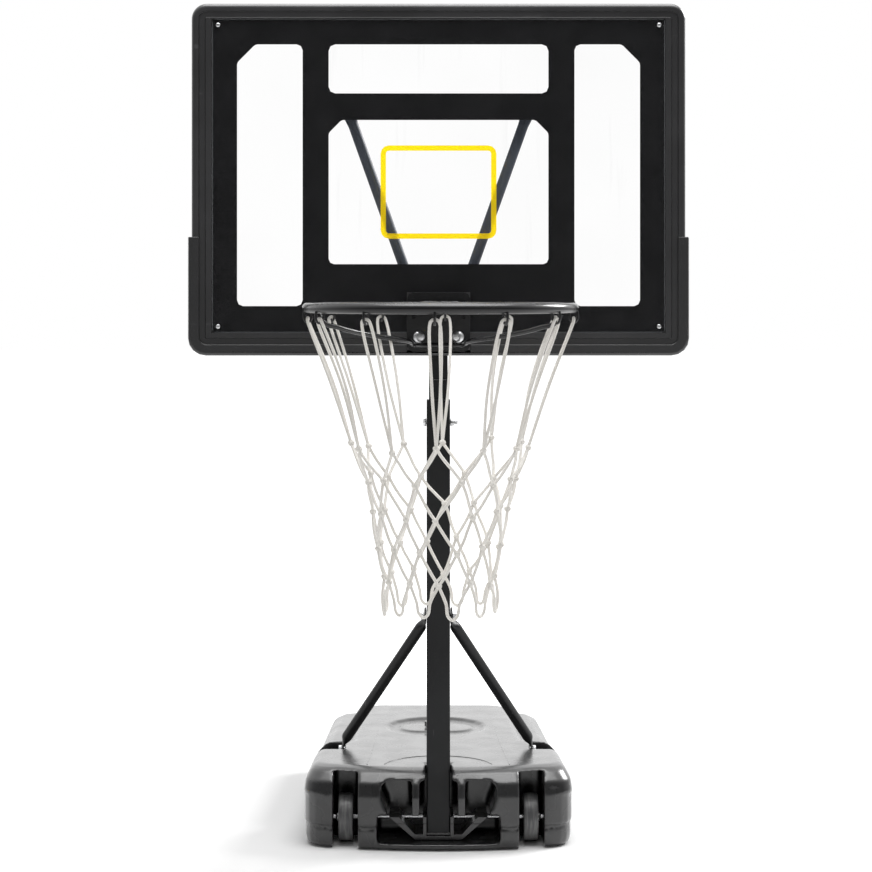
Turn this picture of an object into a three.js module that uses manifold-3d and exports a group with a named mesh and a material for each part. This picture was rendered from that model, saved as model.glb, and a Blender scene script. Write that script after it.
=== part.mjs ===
// Portable poolside basketball hoop, in millimetres, with +Z up.
// The origin is on the ground under the middle of the water tank, and the pool lies towards -Y.
import * as THREE from 'three';
import { mergeVertices } from 'three/addons/utils/BufferGeometryUtils.js';
import Module from 'manifold-3d';

const wasm = await Module();
wasm.setup();

// Clearances and mesh steps shared by every piece
const fit = 0.3;
const overrun = 3;
const boreClearance = 0.5;
const arcSteps = 4;
const roundSides = 10;
const hexSides = 6;
const tubeSides = 8;

// Water tank
const tank = {
  frontWidth: 462, rearWidth: 404, depth: 640, bow: 36, height: 135, shoulderHeight: 116, wall: 6,
  corner: 46, cornerTop: 30, footInset: 14, footHeight: 18, seamHeight: 38, seamGroove: 4, seamBand: 4,
  seamStep: 2, edgeRound: 22, frontRound: 44, shoulderRound: 24, frontBlockDepth: 264, deckRearWidth: 292,
  deckFrontWidth: 340, deckRearMargin: 26, deckRound: 15, cavityHeight: 80, cavityMargin: 24,
};
// Places along the bowed front, as shares of its half width
const bowShares = [-0.6, -0.3, 0, 0.3, 0.6];
// The rounding of the front block's top edge: shares of height, of inset at the sides and in front
const edgeShares = [[1, 0.125, 0.134], [0.333, 0.5, 0.448], [0.125, 0.7, 0.65], [0, 1, 1]];
const frontRecess = {
  width: 208, depth: 74, height: 61, sill: 12, poleGap: 12, deckGap: 2, cradleTop: 52,
};
const scoop = { inner: 45, outer: 98, foot: 84, top: 118, shoulder: 92, round: 18 };
const well = { width: 42, depth: 92, top: 129 };
const dish = { radius: 90, depth: 5, y: 60, padLength: 134, padWidth: 76, padHeight: 3 };
const neck = { bore: 17 };
const cap = {
  radius: 22, height: 9, ribs: 12, ribDepth: 1.6, ribPoints: 4, plug: 15, plugLength: 16,
  sealWidth: 2.5, seal: 1.5,
};

// Wheels and axle
const wheel = {
  radius: 40, width: 25, hub: 12, web: 7, rim: 9, edge: 1.5, sideInset: 73, height: 45, setback: 37,
};
const axle = { radius: 4, overhang: 11, nutRadius: 8, nutLength: 5 };

// Mast
const lowerPole = { width: 40, wall: 1.8, corner: 3, bottom: 24, top: 761, setback: 6 };
const slidePole = { width: 32, wall: 1.6, corner: 3, bottom: 402, top: 795 };
const headPole = { top: 960 };
const heightBolt = { z: 722, radius: 4, travel: 280 };
const bush = { length: 26, glide: 20 };
const spigot = { bottom: 742, top: 846, wall: 2 };
const poleCap = { thickness: 4, plugLength: 10, play: 0.9 };
const boltHead = { width: 13, height: 5.5 };
const nut = { width: 13, height: 7 };
const wingNut = { radius: 6.5, length: 7, span: 11, wing: 3.5, rise: 4 };
const shankPast = 3;
const clampPast = 6;

// Base braces
const brace = {
  radius: 9.5, flat: 11.9, tab: 4, topZ: 391, tabHalf: 11, footInset: 65, footSetback: 204, footZ: 127,
  footTail: 10, footTab: 16, bend: 18,
};
const bracePocket = { length: 68, floor: 92, bore: 26 };

// Backboard
const board = {
  width: 836, height: 590, depth: 30, corner: 26, bottom: 843, edge: 8, backEdge: 4,
  sheetSide: 34.5, sheetTop: 26, sheetBottom: 33, sheetThickness: 3, sheetCorner: 6, recess: 6,
  windowGrow: 4, windowBar: 44, boss: 4, bossRadius: 14,
};
const print = { thickness: 0.6 };
const sideWindow = { width: 111, margin: 42.5, bottom: 45, top: 43, chamfer: 31, corner: 10 };
const topWindow = { height: 83, corner: 11 };
const midWindow = { bar: 45, bottom: 116, chamfer: 22, corner: 9 };
const target = { sideMargin: 88, endMargin: 43, line: 9, corner: 14 };
const screw = { inset: 10.5, headRadius: 4, headHeight: 1.6, shank: 1.8, length: 18 };
const pad = { top: 195, side: 6, lip: 2.4, lipReach: 13, corner: 30 };

// Rim, its bracket and the net
const rim = { centreRadius: 209, rod: 8, height: 921, neckGap: 60, steps: 42 };
const plate = { width: 106, height: 100, thickness: 4, corner: 10, top: 944 };
const tongue = { rootWidth: 90, tipWidth: 64, thickness: 4, flange: 30, tipFlange: 15, overlap: 10 };
const rimBolt = { x: 33, z: 869, radius: 4, headRadius: 10, headHeight: 5 };
const mountPlate = { width: 104, height: 104, thickness: 3, bottom: 845 };
const rimStay = { rod: 4, drop: 66, footX: 33, bow: 6, steps: 24 };
// Route of the stay: shares of a full turn, of the ring's radius and of the drop below the ring
const stayShares = [[0.207, 0.96, 0.86], [0.148, 0.9, 0.7], [0.084, 0.9, 0.5], [0.061, 0.975, 0.34]];
const hook = { count: 12, wire: 2, width: 9, drop: 15 };
// The first hook stands this share of a turn beside the front of the ring
const hookTurnShare = -0.008;
const net = { length: 402, cord: 2.1, knot: 4.6, loopHalf: 7, loopSag: 52, legBow: 5, legSpreadShare: 1.2 };
// Rows of knots: shares of the net's length and of the ring's radius
const netRowShares = [[0.483, 0.675], [0.612, 0.569], [0.739, 0.512], [0.871, 0.459], [1, 0.426]];

// V struts behind the board
const strut = {
  radius: 9.5, flat: 11.9, tab: 4, footZ: 885, topInset: 30, tabLength: 24, bend: 20,
};

// Places that follow from the sizes above
const tankFront = -tank.depth / 2;
const tankNose = tankFront - tank.bow;
const poleY = tankFront + lowerPole.setback + lowerPole.width / 2;
const slideFrontY = poleY - slidePole.width / 2;
const mountPlateY = slideFrontY - fit;
const boardBackY = mountPlateY - mountPlate.thickness - fit;
const boardFrontY = boardBackY - board.depth;
const plateY = boardFrontY - fit;
const plateFrontY = plateY - plate.thickness;
const rimY = boardFrontY - rim.neckGap - rim.centreRadius - rim.rod;
const axleY = tankFront + wheel.setback;
const wheelX = tank.frontWidth / 2 - wheel.sideInset;
const braceFootX = tank.frontWidth / 2 - brace.footInset;
const braceFootY = tankFront + brace.footSetback;
const hookZ = rim.height - rim.rod - hook.drop;
const sheetHalf = board.width / 2 - board.sheetSide;
const sideWindowOuter = sheetHalf - sideWindow.margin;
const sideWindowInner = sideWindowOuter - sideWindow.width;
const midWindowHalf = sideWindowInner - board.windowBar;
const windowBottom = board.bottom + board.sheetBottom + sideWindow.bottom;
const windowTop = board.bottom + board.height - board.sheetTop - sideWindow.top;
const midWindowTop = windowTop - topWindow.height - midWindow.bar;
const midWindowBottom = board.bottom + board.sheetBottom + midWindow.bottom;
const strutTopX = midWindowHalf - strut.topInset;
const strutTopZ = midWindowTop + midWindow.bar / 2;

// Colours of the real finishes
const finishes = {
  mouldedBlack: { color: 0x1d1e20, roughness: 0.5, metalness: 0 },
  paintedBlack: { color: 0x161719, roughness: 0.42, metalness: 0.1 },
  zinc: { color: 0xb9bcc0, roughness: 0.3, metalness: 0.9 },
  printBlack: { color: 0x111214, roughness: 0.3, metalness: 0 },
  printYellow: { color: 0xf5dc14, roughness: 0.4, metalness: 0 },
  clear: { color: 0xeef3f5, roughness: 0.05, metalness: 0 },
  wheelGrey: { color: 0x4a4b4d, roughness: 0.55, metalness: 0 },
  cordWhite: { color: 0xece9e2, roughness: 0.85, metalness: 0 },
  water: { color: 0x9cc4d6, roughness: 0.1, metalness: 0 },
};

// A closed mesh becomes a solid for cutting and joining, with its faces turned outwards
function solid(geometry) {
  const bare = geometry.clone();
  bare.deleteAttribute('normal');
  bare.deleteAttribute('uv');
  const merged = mergeVertices(bare);
  const vertProperties = new Float32Array(merged.attributes.position.array);
  const triVerts = new Uint32Array(merged.index.array);
  const whole = new wasm.Manifold(new wasm.Mesh({ numProp: 3, vertProperties, triVerts }));
  if (whole.volume() > 0) return whole;
  return new wasm.Manifold(new wasm.Mesh({ numProp: 3, vertProperties, triVerts: triVerts.reverse() }));
}

function geometryOf(manifold) {
  const mesh = manifold.getMesh();
  const geometry = new THREE.BufferGeometry();
  geometry.setAttribute('position', new THREE.BufferAttribute(new Float32Array(mesh.vertProperties), 3));
  geometry.setIndex(new THREE.BufferAttribute(new Uint32Array(mesh.triVerts), 1));
  geometry.computeVertexNormals();
  return geometry;
}

function join(...solids) {
  return solids.reduce((whole, next) => whole.add(next));
}

function cut(whole, ...cutters) {
  return cutters.reduce((left, cutter) => left.subtract(cutter), whole);
}

// A box given by its lowest and highest corners
function block(low, high) {
  const size = high.map((value, axis) => value - low[axis]);
  const geometry = new THREE.BoxGeometry(...size);
  geometry.translate(...high.map((value, axis) => (value + low[axis]) / 2));
  return solid(geometry);
}

// A round or hexagonal bar along X, Y or Z that starts at a point
function bar(radius, length, start, axis, sides = roundSides) {
  const geometry = new THREE.CylinderGeometry(radius, radius, length, sides);
  geometry.translate(0, length / 2, 0);
  if (axis === 'z') geometry.rotateX(Math.PI / 2);
  if (axis === 'x') geometry.rotateZ(-Math.PI / 2);
  geometry.translate(...start);
  return solid(geometry);
}

// Radius of a hexagon from its width across flats
function hexRadius(width) {
  return width / Math.sqrt(3);
}

// A polygon with each corner rounded by its own radius
function rounded(corners, radii, steps = arcSteps) {
  const points = [];
  corners.forEach((corner, i) => {
    const radius = Array.isArray(radii) ? radii[i] : radii;
    const here = new THREE.Vector2(...corner);
    const before = new THREE.Vector2(...corners[(i + corners.length - 1) % corners.length]);
    const after = new THREE.Vector2(...corners[(i + 1) % corners.length]);
    if (!radius) {
      points.push(here);
      return;
    }
    const inward = before.clone().sub(here).normalize();
    const outward = after.clone().sub(here).normalize();
    const half = Math.acos(THREE.MathUtils.clamp(inward.dot(outward), -1, 1)) / 2;
    const middle = inward.clone().add(outward).normalize();
    const centre = here.clone().addScaledVector(middle, radius / Math.sin(half));
    const start = here.clone().addScaledVector(inward, radius / Math.tan(half)).sub(centre);
    const end = here.clone().addScaledVector(outward, radius / Math.tan(half)).sub(centre);
    const turn = Math.atan2(start.cross(end), start.dot(end));
    for (let step = 0; step <= steps; step += 1) {
      points.push(start.clone().rotateAround(new THREE.Vector2(), (turn * step) / steps).add(centre));
    }
  });
  return points;
}

function rectangle(left, bottom, right, top) {
  return [[left, bottom], [right, bottom], [right, top], [left, top]];
}

// A closed skin through outlines with equal numbers of points, closed at both ends
function skin(rings) {
  const count = rings[0].length;
  const positions = rings.flat().flatMap((point) => point.toArray());
  const indices = [];
  for (let ring = 0; ring < rings.length - 1; ring += 1) {
    for (let i = 0; i < count; i += 1) {
      const a = ring * count + i;
      const b = ring * count + ((i + 1) % count);
      indices.push(a, b, b + count, a, b + count, a + count);
    }
  }
  const last = (rings.length - 1) * count;
  for (let i = 1; i < count - 1; i += 1) {
    indices.push(0, i + 1, i, last, last + i, last + i + 1);
  }
  const geometry = new THREE.BufferGeometry();
  geometry.setAttribute('position', new THREE.BufferAttribute(new Float32Array(positions), 3));
  geometry.setIndex(indices);
  return solid(geometry);
}

// Outlines stacked along Z, each [height, points]
function stack(levels) {
  return skin(levels.map(([z, points]) => points.map((p) => new THREE.Vector3(p.x, p.y, z))));
}

// Outlines in the X-Z plane stacked along Y from back to front, each [y, points]
function stackForward(levels) {
  return skin(levels.map(([y, points]) => points.map((p) => new THREE.Vector3(p.x, y, p.y))));
}

// A flat outline in the X-Z plane with a thickness towards -Y
function slab(points, backY, thickness, holes = []) {
  const shape = new THREE.Shape(points);
  shape.holes = holes.map((hole) => new THREE.Path(hole));
  const geometry = new THREE.ExtrudeGeometry(shape, { depth: thickness, bevelEnabled: false });
  geometry.rotateX(Math.PI / 2);
  geometry.translate(0, backY, 0);
  return solid(geometry);
}

// A square tube along Z
function squareTube(width, wall, corner, bottom, top) {
  const half = width / 2;
  const inner = half - wall;
  const shape = new THREE.Shape(rounded(rectangle(-half, -half, half, half), corner, 2));
  shape.holes = [new THREE.Path(rounded(rectangle(-inner, -inner, inner, inner), corner / 2, 2))];
  const geometry = new THREE.ExtrudeGeometry(shape, { depth: top - bottom, bevelEnabled: false });
  geometry.translate(0, 0, bottom);
  return solid(geometry);
}

// A rod of round section along a line of points, with its own radius across and along at each point
function crimpedTube(stations, sides = tubeSides) {
  const points = stations.map((station) => new THREE.Vector3(...station.at));
  const rings = stations.map((station, i) => {
    const before = points[Math.max(i - 1, 0)];
    const after = points[Math.min(i + 1, points.length - 1)];
    const along = after.clone().sub(before).normalize();
    const depthwise = new THREE.Vector3(...station.deep);
    depthwise.addScaledVector(along, -depthwise.dot(along)).normalize();
    const sideways = depthwise.clone().cross(along).normalize();
    const ring = [];
    for (let k = 0; k < sides; k += 1) {
      const angle = (2 * Math.PI * (k + 1 / 2)) / sides;
      ring.push(points[i].clone()
        .addScaledVector(sideways, station.half * Math.cos(angle))
        .addScaledVector(depthwise, station.thin * Math.sin(angle)));
    }
    return ring;
  });
  return skin(rings);
}

// A straight piece of cord or wire with square ends
function rod(from, to, radius, sides) {
  const start = new THREE.Vector3(...from);
  const end = new THREE.Vector3(...to);
  const geometry = new THREE.CylinderGeometry(radius, radius, start.distanceTo(end), sides);
  const turn = new THREE.Quaternion().setFromUnitVectors(
    new THREE.Vector3(0, 1, 0),
    end.clone().sub(start).normalize(),
  );
  geometry.applyQuaternion(turn);
  geometry.translate(...start.add(end).multiplyScalar(1 / 2).toArray());
  return solid(geometry);
}

// Bolts run along X or Y: a head, a shank, and a thread end
function bolt(head, headHeight, headSides, radius, length, start, axis) {
  const headStart = [...start];
  headStart[axis === 'x' ? 0 : 1] -= headHeight;
  return join(
    bar(head, headHeight + fit, headStart, axis, headSides),
    bar(radius, length, start, axis),
  );
}

function hexNut(width, height, radius, start, axis) {
  const inside = [...start];
  inside[axis === 'x' ? 0 : 1] -= overrun;
  return cut(
    bar(hexRadius(width), height, start, axis, hexSides),
    bar(radius + boreClearance, height + 2 * overrun, inside, axis),
  );
}

// An outline with a bowed front and straight, tapering sides
function bowedOutline(inset, front, rear, frontWidth, rearWidth, corner) {
  const half = frontWidth / 2 - inset;
  const bow = bowShares.map((share) => [share * half, front + inset - tank.bow * (1 - share * share)]);
  return rounded([
    [-half, front + inset],
    ...bow,
    [half, front + inset],
    [rearWidth / 2 - inset, rear - inset],
    [-rearWidth / 2 + inset, rear - inset],
  ], [corner, ...bow.map(() => 0), corner, corner, corner]);
}

function tankOutline(inset) {
  return bowedOutline(
    inset,
    tankFront,
    tank.depth / 2,
    tank.frontWidth,
    tank.rearWidth,
    tank.corner - inset,
  );
}

function bothSides(make) {
  return [make(-1), make(1)];
}

function makeTank() {
  const foot = tank.footInset;
  const body = stack([
    [0, tankOutline(foot)],
    [tank.footHeight / 3, tankOutline(foot / 3)],
    [tank.footHeight, tankOutline(tank.seamStep)],
    [tank.seamHeight - tank.seamBand, tankOutline(tank.seamStep)],
    [tank.seamHeight, tankOutline(tank.seamGroove)],
    [tank.seamHeight + tank.seamBand, tankOutline(0)],
    [tank.shoulderHeight - tank.shoulderRound, tankOutline(0)],
    [tank.shoulderHeight - tank.shoulderRound / 3, tankOutline(tank.shoulderRound / 3)],
    [tank.shoulderHeight, tankOutline(tank.shoulderRound)],
  ]);
  const blockRear = tankFront + tank.frontBlockDepth;
  const blockRearWidth = tank.frontWidth
    - ((tank.frontWidth - tank.rearWidth) * tank.frontBlockDepth) / tank.depth;
  const blockOutline = (inset, frontInset) => bowedOutline(
    inset,
    tankFront + frontInset - inset,
    blockRear,
    tank.frontWidth,
    blockRearWidth,
    tank.cornerTop,
  );
  const frontBlock = stack([
    [tank.shoulderHeight - tank.shoulderRound, blockOutline(0, 0)],
    ...edgeShares.map(([low, side, front]) => [
      tank.height - low * tank.edgeRound,
      blockOutline(side * tank.edgeRound, front * tank.frontRound),
    ]),
  ]);
  const deckOutline = (inset) => bowedOutline(
    inset,
    tankFront + tank.frontRound,
    tank.depth / 2 - tank.deckRearMargin,
    tank.deckFrontWidth,
    tank.deckRearWidth,
    tank.cornerTop,
  );
  const deck = stack([
    [tank.cavityHeight + tank.wall, deckOutline(0)],
    [tank.shoulderHeight, deckOutline(0)],
    [tank.height - tank.deckRound / 3, deckOutline(tank.deckRound / 2)],
    [tank.height, deckOutline(tank.deckRound)],
  ]);
  const dishCut = bar(
    dish.radius,
    dish.depth + overrun,
    [0, dish.y, tank.height - dish.depth],
    'z',
    2 * roundSides,
  );
  const padOutline = rounded(
    rectangle(-dish.padLength / 2, -dish.padWidth / 2, dish.padLength / 2, dish.padWidth / 2),
    dish.padWidth / 2 - fit,
  ).map((p) => p.add(new THREE.Vector2(0, dish.y)));
  const ovalPad = stack([
    [tank.height - dish.depth - tank.wall / 2, padOutline],
    [tank.height - dish.depth + dish.padHeight, padOutline],
  ]);
  const recessBack = tankFront + frontRecess.depth;
  const poleHalf = lowerPole.width / 2 + frontRecess.poleGap;
  const lowRecess = block(
    [-frontRecess.width / 2, tankNose - overrun, frontRecess.sill],
    [frontRecess.width / 2, recessBack, frontRecess.height],
  );
  const poleCell = block(
    [-poleHalf, tankNose - overrun, frontRecess.height - overrun],
    [poleHalf, recessBack, scoop.top],
  );
  const slotHalf = lowerPole.width / 2 + frontRecess.deckGap;
  const deckSlot = block(
    [-slotHalf, tankNose - overrun, scoop.top - overrun],
    [slotHalf, poleY + slotHalf, tank.height + overrun],
  );
  const scoops = bothSides((side) => slab(
    rounded([
      [side * scoop.inner, frontRecess.height - overrun],
      [side * scoop.foot, frontRecess.height - overrun],
      [side * scoop.outer, scoop.shoulder],
      [side * scoop.outer, scoop.top],
      [side * scoop.inner, scoop.top],
    ], [0, 0, scoop.round / 3, scoop.round, scoop.round / 3]),
    recessBack,
    recessBack - tankNose + overrun,
  ));
  const wells = bothSides((side) => block(
    [side * wheelX - well.width / 2, tankNose - overrun, -overrun],
    [side * wheelX + well.width / 2, tankFront + well.depth, well.top],
  ));
  const axleHole = bar(
    axle.radius + boreClearance,
    2 * wheelX + well.width + 2 * axle.overhang,
    [-(wheelX + well.width / 2 + axle.overhang), axleY, wheel.height],
    'x',
  );
  const pockets = bothSides((side) => {
    const inner = braceFootX;
    const low = Math.min(side * inner, side * tank.frontWidth);
    const high = Math.max(side * inner, side * tank.frontWidth);
    const half = bracePocket.length / 2;
    return block(
      [low, braceFootY - half, bracePocket.floor],
      [high, braceFootY + half, tank.height + overrun],
    );
  });
  const footHoles = bothSides((side) => bar(
    heightBolt.radius + boreClearance,
    bracePocket.bore + overrun,
    [side > 0 ? braceFootX - bracePocket.bore : -braceFootX - overrun, braceFootY, brace.footZ],
    'x',
  ));
  const neckHole = bar(
    neck.bore,
    tank.height,
    [0, dish.y, tank.cavityHeight - overrun],
    'z',
    2 * roundSides,
  );
  return cut(
    join(cut(join(body, frontBlock, deck), dishCut), ovalPad),
    lowRecess,
    poleCell,
    deckSlot,
    ...scoops,
    ...wells,
    axleHole,
    ...pockets,
    ...footHoles,
    cavity(0),
    neckHole,
  );
}

// The hollow of the tank lies behind the wheel wells and under the deck
function cavity(shrink) {
  const front = tankFront + well.depth + tank.cavityMargin + shrink;
  const rear = tank.depth / 2 - tank.cavityMargin - shrink;
  const half = tank.rearWidth / 2 - tank.cavityMargin - shrink;
  const outline = rounded(rectangle(-half, front, half, rear), tank.cornerTop);
  return stack([
    [tank.wall + shrink, outline],
    [tank.cavityHeight - shrink, outline],
  ]);
}

// The cap screws into the neck and its plug runs down the bore
function makeCap() {
  const top = tank.height - dish.depth + dish.padHeight + cap.seal + 2 * fit;
  const points = [];
  const count = cap.ribs * cap.ribPoints;
  for (let i = 0; i < count; i += 1) {
    const onRib = i % cap.ribPoints < cap.ribPoints / 2;
    const radius = onRib ? cap.radius : cap.radius - cap.ribDepth;
    const angle = (2 * Math.PI * i) / count;
    points.push(new THREE.Vector2(radius * Math.cos(angle), radius * Math.sin(angle) + dish.y));
  }
  return join(
    stack([[top, points], [top + cap.height, points]]),
    bar(cap.plug, cap.plugLength + fit, [0, dish.y, top - cap.plugLength], 'z', 2 * roundSides),
  );
}

function makeSeal() {
  const bottom = tank.height - dish.depth + dish.padHeight + fit;
  const inner = neck.bore + fit;
  return cut(
    bar(inner + cap.sealWidth, cap.seal, [0, dish.y, bottom], 'z', 2 * roundSides),
    bar(inner, cap.seal + 2 * overrun, [0, dish.y, bottom - overrun], 'z', 2 * roundSides),
  );
}

// The cradle hangs between the recess walls and carries the foot of the pole on the axle
function makeCradle() {
  const bottom = lowerPole.bottom - fit - poleCap.thickness - fit;
  const foot = lowerPole.width;
  const outer = rounded([
    [-foot, bottom - tank.wall],
    [foot, bottom - tank.wall],
    [scoop.foot - fit, frontRecess.cradleTop - fit],
    [-scoop.foot + fit, frontRecess.cradleTop - fit],
  ], 0);
  const poleHalf = lowerPole.width / 2 + fit;
  const trough = block(
    [-poleHalf, tankFront - overrun, bottom],
    [poleHalf, tankFront + frontRecess.depth + overrun, frontRecess.height + overrun],
  );
  const pocketHalf = lowerPole.width / 2 + tank.wall;
  const pockets = bothSides((side) => slab(
    rounded([
      [side * pocketHalf, frontRecess.height + overrun],
      [side * (scoop.foot - tank.wall), frontRecess.height + overrun],
      [side * (foot - fit), bottom + tank.wall / 2],
      [side * pocketHalf, bottom + tank.wall / 2],
    ], 0),
    tankFront + frontRecess.depth + overrun,
    frontRecess.depth + 2 * overrun,
  ));
  const bore = bar(
    axle.radius + boreClearance,
    frontRecess.width,
    [-frontRecess.width / 2, axleY, wheel.height],
    'x',
  );
  const body = slab(outer, tankFront + frontRecess.depth - fit, frontRecess.depth - 2 * fit);
  return cut(body, trough, ...pockets, bore);
}

// A wheel turned on a lathe: tread, web and hub with a bore
function makeWheel() {
  const bore = axle.radius + boreClearance;
  const half = wheel.width / 2;
  const web = wheel.web / 2;
  const inner = wheel.radius - wheel.rim;
  const profile = [
    [bore, -half], [wheel.hub, -half], [wheel.hub, -web], [inner, -web], [inner, -half],
    [wheel.radius - wheel.edge, -half], [wheel.radius, -half + wheel.edge],
    [wheel.radius, half - wheel.edge], [wheel.radius - wheel.edge, half],
    [inner, half], [inner, web], [wheel.hub, web], [wheel.hub, half],
    [bore, half], [bore, -half],
  ].map((point) => new THREE.Vector2(...point));
  const geometry = new THREE.LatheGeometry(profile, 2 * roundSides);
  geometry.rotateZ(Math.PI / 2);
  return solid(geometry);
}

function axleEnd(side) {
  const inner = wheelX + wheel.width / 2 + fit;
  const start = side > 0 ? inner : -inner - axle.nutLength;
  return cut(
    bar(axle.nutRadius, axle.nutLength, [start, axleY, wheel.height], 'x'),
    bar(axle.radius + fit, axle.nutLength + 2 * overrun, [start - overrun, axleY, wheel.height], 'x'),
  );
}

function makeAxle() {
  const half = wheelX + well.width / 2 + axle.overhang - fit;
  return bar(axle.radius, 2 * half, [-half, axleY, wheel.height], 'x');
}

// Poles
function crossHole(radius, z, width, y = poleY) {
  return bar(radius + boreClearance, width + 2 * overrun, [-width / 2 - overrun, y, z], 'x');
}

function makeLowerPole() {
  const tube = squareTube(lowerPole.width, lowerPole.wall, lowerPole.corner, lowerPole.bottom, lowerPole.top);
  return cut(
    tube.translate([0, poleY, 0]),
    crossHole(heightBolt.radius, heightBolt.z, lowerPole.width),
    crossHole(heightBolt.radius, brace.topZ, lowerPole.width),
    crossHole(axle.radius, wheel.height, lowerPole.width, axleY),
  );
}

// The sliding pole has a long slot through its sides for the height bolt
function makeSlidePole() {
  const tube = squareTube(slidePole.width, slidePole.wall, slidePole.corner, slidePole.bottom, slidePole.top);
  const half = heightBolt.radius + boreClearance;
  const slot = block(
    [-slidePole.width, poleY - half, heightBolt.z - heightBolt.travel - half],
    [slidePole.width, poleY + half, heightBolt.z + half],
  );
  return cut(tube.translate([0, poleY, 0]), slot);
}

function makeHeadPole() {
  const tube = squareTube(
    slidePole.width,
    slidePole.wall,
    slidePole.corner,
    slidePole.top + fit,
    headPole.top,
  );
  return cut(tube.translate([0, poleY, 0]), crossHole(heightBolt.radius, strut.footZ, slidePole.width));
}

function makeSpigot() {
  const width = slidePole.width - 2 * slidePole.wall - 2 * fit;
  const tube = squareTube(width, spigot.wall, slidePole.corner / 2, spigot.bottom, spigot.top);
  return tube.translate([0, poleY, 0]);
}

// A sleeve that fills the space between the two poles
function makeSleeve(bottom, top, inner, outer) {
  return squareTube(outer, (outer - inner) / 2, slidePole.corner, bottom, top).translate([0, poleY, 0]);
}

function makePoleCap(width, wall, edge, direction) {
  const half = width / 2;
  const inner = half - wall - poleCap.play;
  const lip = [edge + direction * fit, edge + direction * (fit + poleCap.thickness)].sort((a, b) => a - b);
  const plug = [edge + direction * (fit + poleCap.thickness / 2), edge - direction * poleCap.plugLength]
    .sort((a, b) => a - b);
  return join(
    block([-half, poleY - half, lip[0]], [half, poleY + half, lip[1]]),
    block([-inner, poleY - inner, plug[0]], [inner, poleY + inner, plug[1]]),
  );
}

// A cross bolt has its head on the left and its thread end on the right
function crossBolt(span, z, past) {
  const length = span + nut.height + past;
  return bolt(
    hexRadius(boltHead.width),
    boltHead.height,
    hexSides,
    heightBolt.radius,
    length,
    [-span / 2 - fit, poleY, z],
    'x',
  );
}

function makeWingNut() {
  const start = lowerPole.width / 2 + 2 * fit;
  const z = heightBolt.z;
  const boss = bar(wingNut.radius, wingNut.length, [start, poleY, z], 'x');
  const wings = bothSides((side) => {
    const inner = side * (heightBolt.radius + wingNut.wing / 2);
    const outer = side * wingNut.span;
    const low = Math.min(inner, outer);
    const high = Math.max(inner, outer);
    return block(
      [start + wingNut.length / 3, poleY + low, z - wingNut.wing / 2],
      [start + wingNut.length + wingNut.rise, poleY + high, z + wingNut.wing / 2],
    );
  });
  const relief = bar(wingNut.radius, wingNut.span, [start + wingNut.length, poleY, z], 'x');
  const bore = bar(
    heightBolt.radius + boreClearance,
    wingNut.length + 2 * overrun,
    [start - overrun, poleY, z],
    'x',
  );
  return cut(join(boss, ...wings), relief, bore);
}

// Tubes crimped flat at both ends, where their bolts pass
function tubeStations(path, flatStart, flatEnd, size) {
  const round = { half: size.radius, thin: size.radius };
  const flat = { half: size.flat, thin: size.tab / 2 / Math.cos(Math.PI / tubeSides) };
  const [start, startBend, end, endBend] = path;
  const blend = (a, b, share) => a.map((value, i) => value + (b[i] - value) * share);
  const startRound = blend(startBend, endBend, size.bend / distance(startBend, endBend));
  const endRound = blend(endBend, startBend, size.bend / distance(startBend, endBend));
  return [
    { at: start, deep: flatStart, ...flat },
    { at: startBend, deep: flatStart, ...flat },
    { at: startRound, deep: flatStart, ...round },
    { at: endRound, deep: flatEnd, ...round },
    { at: endBend, deep: flatEnd, ...flat },
    { at: end, deep: flatEnd, ...flat },
  ];
}

function distance(a, b) {
  return new THREE.Vector3(...a).distanceTo(new THREE.Vector3(...b));
}

function makeBrace(side) {
  const topX = side * (lowerPole.width / 2 + fit + brace.tab / 2);
  const footX = side * (braceFootX + fit + brace.tab / 2);
  const topY = poleY;
  const run = new THREE.Vector2(braceFootY - topY, brace.footZ - brace.topZ).normalize();
  const place = (x, y, z, along) => [x, y + run.x * along, z + run.y * along];
  const path = [
    place(topX, topY, brace.topZ, -brace.tabHalf),
    place(topX, topY, brace.topZ, brace.tabHalf),
    place(footX, braceFootY, brace.footZ, brace.footTail),
    place(footX, braceFootY, brace.footZ, -brace.footTab),
  ];
  const body = crimpedTube(tubeStations(path, [1, 0, 0], [1, 0, 0], brace));
  const topHole = crossHole(heightBolt.radius, brace.topZ, lowerPole.width + 4 * brace.radius);
  const footHole = bar(
    heightBolt.radius + boreClearance,
    4 * brace.radius,
    [footX - 2 * brace.radius, braceFootY, brace.footZ],
    'x',
  );
  return cut(body, topHole, footHole);
}

function makeBraceFootBolt(side) {
  const outer = braceFootX + fit + brace.tab + fit;
  const length = bracePocket.bore - fit + brace.tab;
  const head = bar(
    hexRadius(boltHead.width),
    boltHead.height,
    [side > 0 ? outer : -outer - boltHead.height, braceFootY, brace.footZ],
    'x',
    hexSides,
  );
  const shank = bar(
    heightBolt.radius,
    length + fit,
    [side > 0 ? outer - length : -outer - fit, braceFootY, brace.footZ],
    'x',
  );
  return join(head, shank);
}

// Board outline and windows, with heights above the board's lower edge
function boardOutline(inset) {
  const half = board.width / 2;
  const bottom = board.bottom;
  return rounded(
    rectangle(-half + inset, bottom + inset, half - inset, bottom + board.height - inset),
    board.corner - inset,
  );
}

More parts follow.
